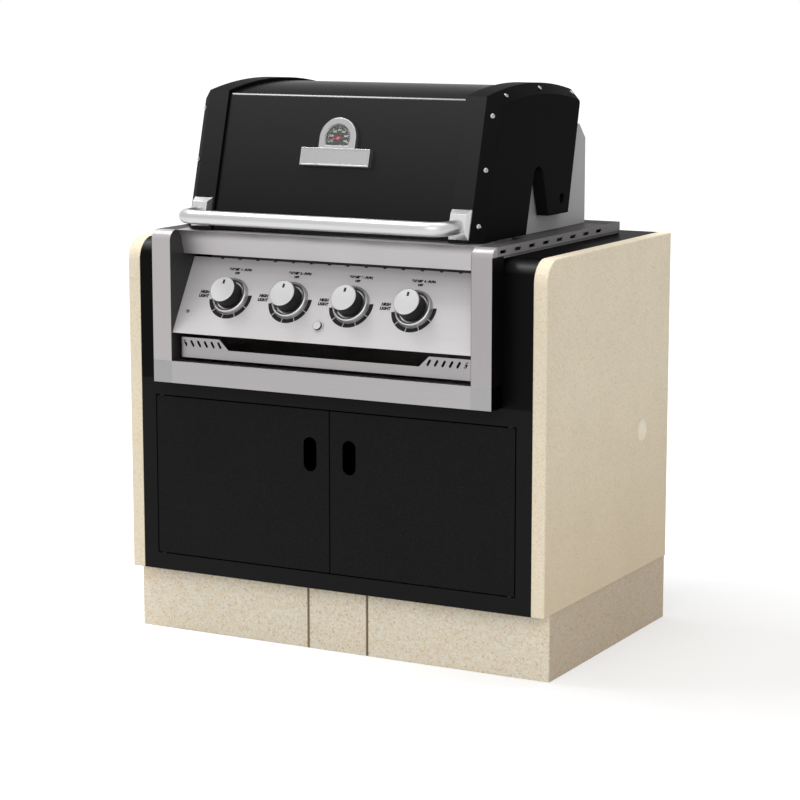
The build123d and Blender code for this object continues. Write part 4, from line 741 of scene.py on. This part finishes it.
for count, knobPlace in enumerate(panelSettings["knobPlaces"], start=1):
    for part in range(printSettings["parts"]):
        printBand(knobPlace, part)
    printWords(f"BURNER {count} - PUSH", printSettings["nameSize"], knobPlace + printSettings["nameShift"],
               knobUp + printSettings["nameUp"])
    printWords("OFF", printSettings["offSize"], knobPlace, knobUp + printSettings["offUp"])
    for row, words in enumerate(("LIGHT", "HIGH")):
        rowUp = (row - 0.5) * printSettings["sideSize"] * printSettings["rowPitch"]
        printWords(words, printSettings["sideSize"], knobPlace + printSettings["sideShift"],
                   knobUp + printSettings["sideUp"] + rowUp)
printInk = mouldedPlastic("printInk", {
    "tint": tone(22, 22, 23), "deep": tone(14, 14, 15), "pale": grey(50),
    "scale": 400.0, "rough": 0.5, "gloss": 0.2, "bump": 0.04, "edge": 0.0001})
addPiece("panelPrint", printMesh, printInk, "unit")
print("panel print laid")

# screw heads, in shares of their radius and rise: a wall, then shoulder, crown and driver socket
screwShape = {"sides": 20, "wall": 0.55, "insets": ((0.35, 0.35), (0.2, 0.1), (0.05, -0.4))}


def addScrew(mesh, matrix, radius, rise):
    screw = bmesh.new()
    bmesh.ops.create_circle(screw, cap_ends=True, cap_tris=False, segments=screwShape["sides"], radius=radius)
    top = raiseFace(screw, rise * screwShape["wall"])
    bmesh.ops.recalc_face_normals(screw, faces=screw.faces[:])
    for inset, lift in screwShape["insets"]:
        bmesh.ops.inset_region(screw, faces=[top], thickness=radius * inset, depth=rise * lift)
    bmesh.ops.recalc_face_normals(screw, faces=screw.faces[:])
    addPart(mesh, screw, matrix)


# screw at the lower left of the panel
screwSettings = {"place": (-0.345, 0.042), "radius": 0.0042, "rise": 0.0018}
screwMesh = bmesh.new()
addScrew(screwMesh, panelSpot(*screwSettings["place"]), screwSettings["radius"], screwSettings["rise"])
screwSteel = brushedMetal("screwSteel", {
    **chromeLook, "tint": tone(120, 119, 119), "deep": tone(104, 103, 103), "rough": 0.5})
addPiece("panelScrew", screwMesh, screwSteel, "unit")

# lid: foot and lean of its front, front, crown and back of its arch, and the rim's thickness
lidSettings = {"front": Vector((0, -0.2896, 0.928)), "lean": 15.4, "rim": 0.007,
               "arch": ((-0.2070, 1.228), (0.015, 1.249), (0.242, 1.222))}
lidFront = lidSettings["front"]
lidUp, lidOut = leanWays(lidSettings["lean"])


# middle and radius of the circle through three points
def archCentre(first, second, third):
    (ax, ay), (bx, by), (cx, cy) = first, second, third
    scale = 2 * (ax * (by - cy) + bx * (cy - ay) + cx * (ay - by))
    squares = [x * x + y * y for x, y in (first, second, third)]
    across = (squares[0] * (by - cy) + squares[1] * (cy - ay) + squares[2] * (ay - by)) / scale
    upward = (squares[0] * (cx - bx) + squares[1] * (ax - cx) + squares[2] * (bx - ax)) / scale
    return across, upward, hypot(ax - across, ay - upward)


archDepth, archLevel, archRadius = archCentre(*lidSettings["arch"])


# matrix of a spot whose z points outward
def facing(spot, out):
    side = out.cross(Vector((0, 0, 1))).normalized()
    up = out.cross(side)
    turn = Matrix((side, up, out)).transposed()
    return Matrix.Translation(spot) @ turn.to_4x4()


# chrome bolts along the bevels of the end caps, on the front by level and on the arch by depth
boltSettings = {"front": (0.965, 1.080, 1.191), "top": (-0.144, 0.023, 0.192), "radius": 0.0052,
                "rise": 0.0042, "outside": 0.365, "bevel": 0.024}
boltMesh = bmesh.new()
halfBevel = boltSettings["bevel"] / 2


# sinks a bolt from the cap's surface to the middle of the bevel
def addBolt(side, spot, out):
    spot = spot - out * halfBevel
    spot.x = side * (boltSettings["outside"] - halfBevel)
    way = (Vector((side, 0, 0)) + out).normalized()
    addScrew(boltMesh, facing(spot, way), boltSettings["radius"], boltSettings["rise"])


for side in (-1, 1):
    for level in boltSettings["front"]:
        addBolt(side, lidFront + lidUp * ((level - lidFront.z) / lidUp.z), lidOut)
    for depth in boltSettings["top"]:
        rise = sqrt(archRadius ** 2 - (depth - archDepth) ** 2)
        out = Vector((0, depth - archDepth, rise)).normalized()
        addBolt(side, Vector((0, depth, archLevel + rise)), out)
boltSteel = brushedMetal("boltSteel", {**chromeLook, "tint": grey(170), "deep": grey(150), "rough": 0.24})
addPiece("capBolts", boltMesh, boltSteel, "lid")
print("cap bolts set")

# dial of the heat gauge behind the lens
dialSettings = {"rise": 0.212, "floor": 0.007, "radius": 0.0291, "sides": 64, "flat": 0.0146, "thick": 0.0003}
dialMiddle = lidFront - lidOut * lidSettings["rim"] + lidUp * dialSettings["rise"]


def dialSpot(across, up, out):
    return faceSpot(dialMiddle, lidUp, lidOut, across, up, out)


dialMesh = bmesh.new()
bmesh.ops.create_circle(
    dialMesh, cap_ends=True, segments=dialSettings["sides"], radius=dialSettings["radius"])
bmesh.ops.bisect_plane(
    dialMesh, geom=dialMesh.verts[:] + dialMesh.edges[:] + dialMesh.faces[:],
    plane_co=(0, -dialSettings["flat"], 0), plane_no=(0, -1, 0), clear_outer=True)
raiseFace(dialMesh, dialSettings["thick"])
bmesh.ops.recalc_face_normals(dialMesh, faces=dialMesh.faces[:])
bmesh.ops.transform(dialMesh, matrix=dialSpot(0, 0, dialSettings["floor"]), verts=dialMesh.verts[:])
dialBlack = mouldedPlastic("dialBlack", {
    "tint": tone(38, 40, 40), "deep": tone(28, 30, 30), "pale": grey(70),
    "scale": 350.0, "rough": 0.5, "gloss": 0.25, "bump": 0.05, "edge": 0.0002})
addPiece("dialFace", dialMesh, dialBlack, "lid")

# marks and numbers round the dial, as far down as its flat allows
markSettings = {"from": 200.0, "to": -20.0, "steps": 24, "longEvery": 4, "reach": 0.0268, "flatGap": 0.002,
                "long": (0.0042, 0.0010, 0.0001), "short": (0.0024, 0.0006, 0.0001), "lift": 0.0001,
                "numbers": ("100", "200", "300", "400", "500", "600", "700"),
                "numberReach": 0.0182, "numberSize": 0.0062}
markMesh = bmesh.new()
markLift = dialSettings["floor"] + dialSettings["thick"] + markSettings["lift"]
markLow = markSettings["flatGap"] - dialSettings["flat"]
span = markSettings["to"] - markSettings["from"]
for mark in range(markSettings["steps"] + 1):
    angle = radians(markSettings["from"] + span * mark / markSettings["steps"])
    size = markSettings["short" if mark % markSettings["longEvery"] else "long"]
    reach = markSettings["reach"] - size[0] / 2
    across, up = reach * cos(angle), reach * sin(angle)
    if up >= markLow:
        addBlock(markMesh, size, dialSpot(across, up, markLift) @ Matrix.Rotation(angle, 4, "Z"))
numberReach = markSettings["numberReach"]
for number, words in enumerate(markSettings["numbers"]):
    angle = radians(markSettings["from"] + span * number / (len(markSettings["numbers"]) - 1))
    numberSpot = dialSpot(numberReach * cos(angle), numberReach * sin(angle), markLift)
    addWords(markMesh, words, markSettings["numberSize"], numberSpot)
dialWhite = mouldedPlastic("dialWhite", {
    "tint": tone(232, 230, 218), "deep": tone(220, 217, 203), "pale": tone(244, 243, 238),
    "scale": 600.0, "rough": 0.5, "gloss": 0.2, "bump": 0.02, "edge": 0.0001})
addPiece("dialMarks", markMesh, dialWhite, "lid")
print("gauge dial drawn")


# mask of rays that show a thing straight, mirrored or through glass
def seenRays(tree):
    rays = tree.nodes.new("ShaderNodeLightPath").outputs
    mirrored = addMath(tree, "MAXIMUM", rays["Is Glossy Ray"], rays["Is Transmission Ray"])
    return addMath(tree, "MAXIMUM", rays["Is Camera Ray"], mirrored)


# pale floor that glows white where it is seen, less so where the shadow falls
floorSettings = {"size": 30.0, "tint": 0.62, "dustScale": 3.0, "dust": (0.985, 1.0),
                 "shade": (1.1, 0.35, 0.0), "glowReach": (0.7, 1.7), "glow": (0.39, 0.75)}
floorMesh = bmesh.new()
bmesh.ops.create_grid(floorMesh, x_segments=1, y_segments=1, size=floorSettings["size"])
floorData = bpy.data.meshes.new("floor")
floorMesh.to_mesh(floorData)
floorMesh.free()
floor = bpy.data.objects.new("floor", floorData)
scene.collection.objects.link(floor)
floorMaterial = bpy.data.materials.new("floorPale")
floorMaterial.use_nodes = True
tree = floorMaterial.node_tree
tree.nodes.clear()
floorPlace = tree.nodes.new("ShaderNodeTexCoord").outputs["Object"]
reach = addVector(tree, "DISTANCE", floorPlace, floorSettings["shade"])
share = addRange(tree, reach, *floorSettings["glowReach"], *floorSettings["glow"])
strength = addMath(tree, "MULTIPLY", seenRays(tree), share)
glow = addNode(tree, "ShaderNodeEmission", Color=(1, 1, 1, 1), Strength=strength)
dust = fromNoise(tree, addNoise(tree, floorPlace, floorSettings["dustScale"]), *floorSettings["dust"])
paleTint = addGrey(tree, addMath(tree, "MULTIPLY", dust, floorSettings["tint"]))
matte = addNode(tree, "ShaderNodeBsdfDiffuse", Color=paleTint)
both = tree.nodes.new("ShaderNodeAddShader")
tree.links.new(glow.outputs["Emission"], both.inputs[0])
tree.links.new(matte.outputs["BSDF"], both.inputs[1])
tree.links.new(both.outputs["Shader"], tree.nodes.new("ShaderNodeOutputMaterial").inputs["Surface"])
floorData.materials.append(floorMaterial)

# white backdrop, which lights the object less than it shows
worldSettings = {"fill": 0.62}
world = bpy.data.worlds.new("studio")
scene.world = world
world.use_nodes = True
tree = world.node_tree
tree.nodes.clear()
strength = addRange(tree, seenRays(tree), 0.0, 1.0, worldSettings["fill"], 1.0)
sky = addNode(tree, "ShaderNodeBackground", Color=(1, 1, 1, 1), Strength=strength)
tree.links.new(sky.outputs["Background"], tree.nodes.new("ShaderNodeOutputWorld").inputs["Surface"])

# softboxes: one high on the left, a weak one over the right slab and a wide one in front
lampSettings = {
    "keyLamp": {"place": (-2.15, -0.5, 4.7), "aim": (0, 0, 0.7), "sizes": (2.2, 1.2), "power": 102.0},
    "topLamp": {"place": (0.5, 0.15, 3.0), "aim": (0.5, 0.16, 0), "sizes": (1.6, 1.6), "power": 14.0},
    "fillLamp": {"place": (1.3, -4.6, 3.0), "aim": (0, 0, 0.5), "sizes": (5.0, 4.0), "power": 76.0},
}
for lampName, lamp in lampSettings.items():
    lampData = bpy.data.lights.new(lampName, "AREA")
    lampData.shape = "RECTANGLE"
    lampData.size, lampData.size_y = lamp["sizes"]
    lampData.energy = lamp["power"]
    lampObject = bpy.data.objects.new(lampName, lampData)
    lampObject.location = lamp["place"]
    beam = Vector(lamp["aim"]) - Vector(lamp["place"])
    lampObject.rotation_euler = beam.to_track_quat("-Z", "Y").to_euler()
    scene.collection.objects.link(lampObject)
print("studio lit")
